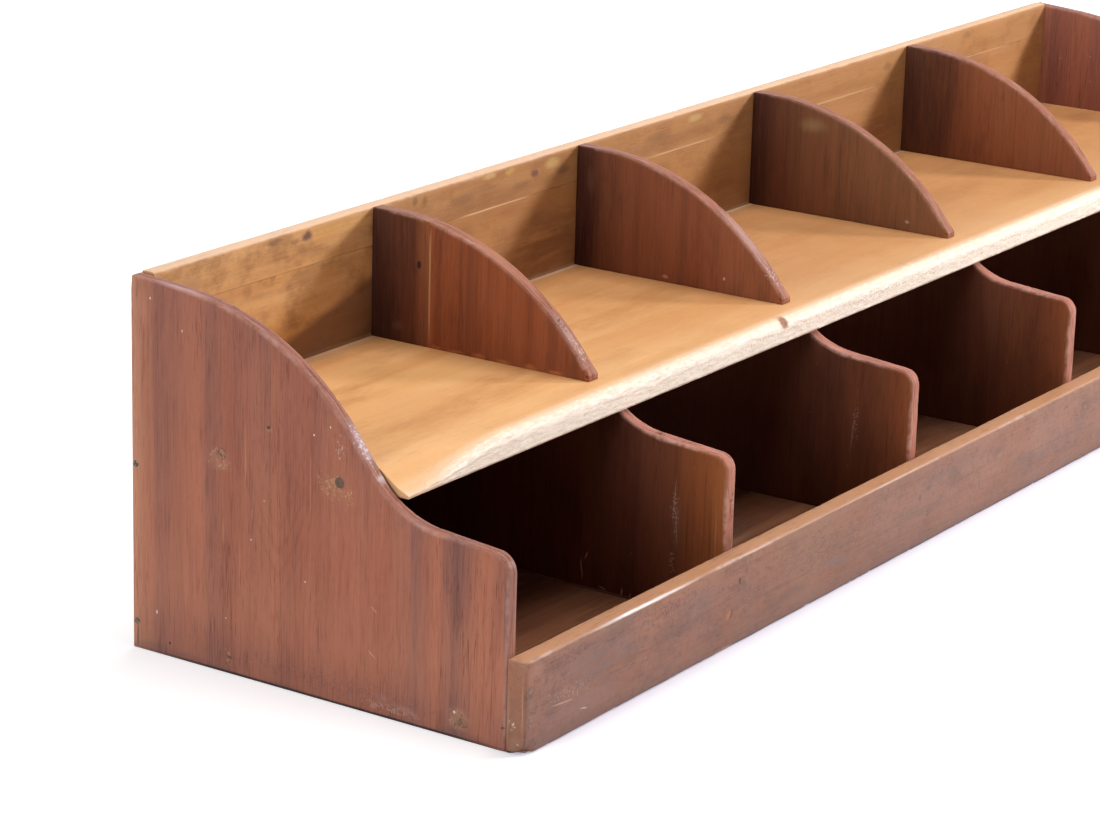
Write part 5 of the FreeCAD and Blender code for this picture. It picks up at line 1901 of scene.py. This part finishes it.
        return [
            UpperDivider("upper_divider_1_rear", last_depth=53.0, seed=11.0, marks=rear_marks, drifts=(rear_shade_1,)),
            UpperDivider("upper_divider_1_front", first_depth=53.06, seed=12.0, marks=front_1),
            UpperDivider("upper_divider_2", seed=13.0, marks=marks_2, drifts=(shade_2,)),
            UpperDivider("upper_divider_3", seed=14.0, marks=marks_3, drifts=(shade_3,)),
            UpperDivider("upper_divider_4", seed=15.0, drifts=(shade_4,)),
        ]

    def lower_dividers(self) -> list[LowerDivider]:
        """Sets out the dividers under the shelf.

        Returns:
            The dividers, from left to right.
        """
        # Painted light and shade: bright orange along the front where the light reaches, darkening towards the back
        # inside the bay.
        lit_front_and_shade = Drift("Y", (
            (-127, (0.34, 0.115, 0.04), 0.85), (-112, (0.28, 0.085, 0.028), 0.75), (-98, (0.23, 0.07, 0.025), 0.7),
            (-90, (0.13, 0.04, 0.018), 0.5), (-60, (0.08, 0.025, 0.015), 0.4), (130, (0.07, 0.025, 0.016), 0.8),
        ), 2.5)
        x = -348.75
        pale: Tone = (0.5, 0.33, 0.26)
        face, second = Face(0, x, 2.0), Face(0, -119.75, 2.0)
        marks = (
            *face.marks(
                (-25.5, 22, 0.6, 9, pale, 0.8, 0.6, 1, -6), (-28.5, 31, 0.6, 4, pale, 0.6, 0.6, 1, 20),
                (-41, 12.5, 4, 0.9, pale, 0.6, 0.8, 1.2, 20), (-55, 13, 1, 4, pale, 0.6, 0.8, 1),
                (-61, 12, 0.8, 3, pale, 0.5, 0.8, 1), (-90.5, 82, 0.7, 17, (0.42, 0.26, 0.18), 0.35, 0.8, 1.6, 4),
                (-92.5, 60, 0.5, 12, (0.42, 0.26, 0.18), 0.35, 0.8, 1.4, -5),
                (-91, 72, 4.2, 26, (0.42, 0.29, 0.23), 0.5, 0.9, 1.5, 0, FLECKS),
                (-90, 40, 3.6, 14, (0.36, 0.23, 0.18), 0.4, 0.9, 1.5, 0, FLECKS),
                (-100, 60, 0.9, 40, (0.06, 0.02, 0.012), 0.55, 0.9, 1.5),
                (-116, 60, 1.3, 44, (0.1, 0.034, 0.018), 0.5, 0.9, 1.5),
                (-112, 80, 0.8, 40, (0.12, 0.04, 0.02), 0.6, 0.8, 1.2),
                (-104, 70, 1, 44, (0.14, 0.045, 0.02), 0.5, 0.8, 1.2),
                (-120, 60, 0.8, 30, (0.45, 0.19, 0.08), 0.5, 0.8, 1.2),
                (-92, 66, 5, 24, (0.3, 0.19, 0.15), 0.22, 1, 4),
            ),
            Mark((x + 5, -76, 118), (6, 4, 1.6), PITCH, 0.75, 0.7, 1.5),
            Mark((x + 6, -98, 115.8), (4, 22, 2), PITCH, 0.5, 0.9, 1.5, shape=FLECKS),
            Mark((x + 6, -126.8, 85), (4, 2, 26), PITCH, 0.5, 0.9, 1.5, shape=FLECKS),
            Mark((x + 5, -126.5, 60), (6, 1.6, 12), (0.1, 0.05, 0.035), 0.5, 0.8, 2),
            *face.marks((-20, 10.2, 60, 1.3, (0.3, 0.19, 0.15), 0.7, 0.8, 1.2, 0, BOX)),
            Mark((x, -64, 124.5), (6, 1.6, 1.6), PITCH, 0.9, 0.5, 0.5),
        )
        # Painted light and shade as above: bright along the front and dark inside, then paler again towards the rear.
        lit_front_and_shade_2 = Drift("Y", (
            (-127, (0.3, 0.095, 0.034), 0.7), (-118, (0.24, 0.07, 0.027), 0.65), (-94, (0.15, 0.046, 0.02), 0.5),
            (-60, (0.12, 0.04, 0.023), 0.3), (60, (0.36, 0.17, 0.12), 0.8), (130, (0.56, 0.33, 0.27), 0.88),
        ), 3.0)
        smear = second.marks(
            (-86, 70, 4, 24, (0.4, 0.27, 0.21), 0.35, 0.9, 1.5, 0, FLECKS),
            (-84, 66, 1, 20, (0.4, 0.26, 0.2), 0.25, 0.9, 2, 5),
            (-110, 60, 1.2, 44, (0.08, 0.028, 0.016), 0.5, 0.9, 1.5),
        )
        return [
            LowerDivider("lower_divider_1", seed=21.0, marks=marks, drifts=(lit_front_and_shade,)),
            LowerDivider("lower_divider_2", seed=22.0, marks=smear, drifts=(lit_front_and_shade_2,)),
            LowerDivider("lower_divider_3", seed=23.0, drifts=(lit_front_and_shade_2,)),
            LowerDivider("lower_divider_4", seed=24.0, drifts=(lit_front_and_shade_2,)),
        ]

    def build(self) -> None:
        """Builds every piece in order."""
        EndPanel("left_end_panel", mirrored=False).build()
        EndPanel("right_end_panel", mirrored=True).build()
        Fillers("left_end_plugs", mirrored=False).build()
        Fillers("right_end_plugs", mirrored=True).build()
        for board in (*self.back(), self.shelf(), self.bottom(), self.rail()):
            board.build()
        for divider in (*self.upper_dividers(), *self.lower_dividers()):
            divider.build()
        Nails().dress()


@dataclass
class Studio:
    """The pale floor, the soft lamps and the camera."""

    eye: Spot = (-2.08519, -1.15410, 0.75225)
    yaw: float = 0.9838
    pitch: float = 0.2955
    roll: float = -0.0277
    lens: float = 116.73
    world: float = 0.11
    floor_size: float = 9.0
    floor_glow: float = 0.51
    foot_shade: float = 0.046
    floor_light: Tone = (0.93, 0.945, 1.0)
    shade_light: Tone = (0.31, 0.285, 0.48)

    def build(self) -> None:
        """Sets the floor, the lamps, the world and the camera."""
        self.floor()
        self.surroundings()
        self.lamp("overhead_lamp", (-0.1, -0.1, 2.3), (-0.1, 0.0, 0.1), 1.5, 42.0)
        self.lamp("right_front_lamp", (1.95, -2.1, 1.2), (-0.1, 0.05, 0.14), 0.55, 82.0)
        self.lamp("left_lamp", (-3.5, 0.1, 0.95), (-0.5, 0.0, 0.1), 1.3, 54.0)
        self.camera()

    def seen(self, graph: Graph) -> bpy.types.NodeSocket:
        """Tells whether the camera looks at a point, straight, in a reflection or through a clear thing.

        Args:
            graph: The tree to build in.

        Returns:
            One for the camera's own rays and nought for the lamps' light.
        """
        path = graph.add("LightPath").outputs
        direct = graph.maths("MAXIMUM", path["Is Camera Ray"], path["Is Glossy Ray"])
        return graph.maths("MAXIMUM", direct, path["Is Transmission Ray"])

    def floor(self) -> None:
        """Lays the floor, white to the camera, with the sorter's shadow and a lilac shade along the rail."""
        mesh = bpy.data.meshes.new("studio_floor")
        half = self.floor_size
        mesh.from_pydata([(-half, -half, 0), (half, -half, 0), (half, half, 0), (-half, half, 0)], [], [(0, 1, 2, 3)])
        floor = bpy.data.objects.new("studio_floor", mesh)
        bpy.context.scene.collection.objects.link(floor)
        material = bpy.data.materials.new("studio_floor_paper")
        material.use_nodes = True
        graph = Graph(material.node_tree)
        seen = self.seen(graph)
        place = graph.add("TexCoord").outputs["Object"]
        grain = graph.noise(place, 60.0, 2.0).outputs[0]
        paper = graph.blend(grain, (0.80, 0.79, 0.76), (0.82, 0.81, 0.78))
        diffuse = graph.add("BsdfDiffuse", {"Color": paper})
        glow_here = graph.ease(graph.length(place), 0.9, 2.6, self.floor_glow, 1.0)
        shown = graph.times(seen, glow_here)
        x, y, _ = graph.add("SeparateXYZ", {0: place}).outputs
        ahead = graph.maths("SUBTRACT", RAIL_FACE * MM, y)
        shade = graph.ease(ahead, 0.0, self.foot_shade, 1.0, 0.0)
        shade = graph.times(shade, graph.ease(ahead, -0.03, -0.01))
        shade = graph.times(shade, graph.ease(graph.maths("ABSOLUTE", x), 0.53, 0.61, 1.0, 0.0))
        glow_tone = graph.blend(shade, self.floor_light, self.shade_light)
        glow = graph.add("Emission", {"Color": glow_tone, "Strength": shown})
        graph.end(graph.add("AddShader", {0: diffuse.outputs[0], 1: glow.outputs[0]}))
        mesh.materials.append(material)

    def surroundings(self) -> None:
        """Sets the even light from all round, which the camera sees as white."""
        world = bpy.data.worlds.new("studio_air")
        bpy.context.scene.world = world
        world.use_nodes = True
        graph = Graph(world.node_tree)
        seen = self.seen(graph)
        strength = graph.add("MapRange", {"Value": seen, "To Min": self.world, "To Max": 1.0}).outputs[0]
        sky = graph.add("Background", {"Color": (1.0, 1.0, 1.0), "Strength": strength})
        out = graph.add("OutputWorld")
        graph.tree.links.new(sky.outputs[0], out.inputs["Surface"])

    def lamp(self, name: str, at: Spot, aim: Spot, size: float, power: float) -> None:
        """Hangs a square soft lamp.

        Args:
            name: The lamp's name.
            at: Its place in metres.
            aim: The point it faces.
            size: The length of its side in metres.
            power: Its power in watts.
        """
        light = bpy.data.lights.new(name, "AREA")
        light.shape, light.size, light.energy = "SQUARE", size, power
        lamp = bpy.data.objects.new(name, light)
        facing = (Vector(aim) - Vector(at)).to_track_quat("-Z", "Y")
        lamp.matrix_world = Matrix.LocRotScale(Vector(at), facing, None)
        bpy.context.scene.collection.objects.link(lamp)

    def camera(self) -> None:
        """Sets the camera at its measured place and angle."""
        forward = Vector((
            math.sin(self.yaw) * math.cos(self.pitch), math.cos(self.yaw) * math.cos(self.pitch),
            -math.sin(self.pitch),
        ))
        level = Vector((math.cos(self.yaw), -math.sin(self.yaw), 0.0))
        down = forward.cross(level)
        across = level * math.cos(self.roll) + down * math.sin(self.roll)
        below = down * math.cos(self.roll) - level * math.sin(self.roll)
        data = bpy.data.cameras.new("photographer")
        data.sensor_fit, data.sensor_width, data.lens = "HORIZONTAL", 36.0, self.lens
        data.clip_start, data.clip_end = 0.05, 60.0
        camera = bpy.data.objects.new("photographer", data)
        columns = Matrix((across, -below, -forward)).transposed()
        camera.matrix_world = Matrix.Translation(self.eye) @ columns.to_4x4()
        bpy.context.scene.collection.objects.link(camera)
        bpy.context.scene.camera = camera
        bpy.context.scene.view_settings.view_transform = "Standard"


def main() -> None:
    """Builds the sorter and its studio."""
    logging.basicConfig(level=logging.INFO, format="%(message)s")
    Sorter().build()
    Studio().build()


if __name__ == "__main__":
    main()
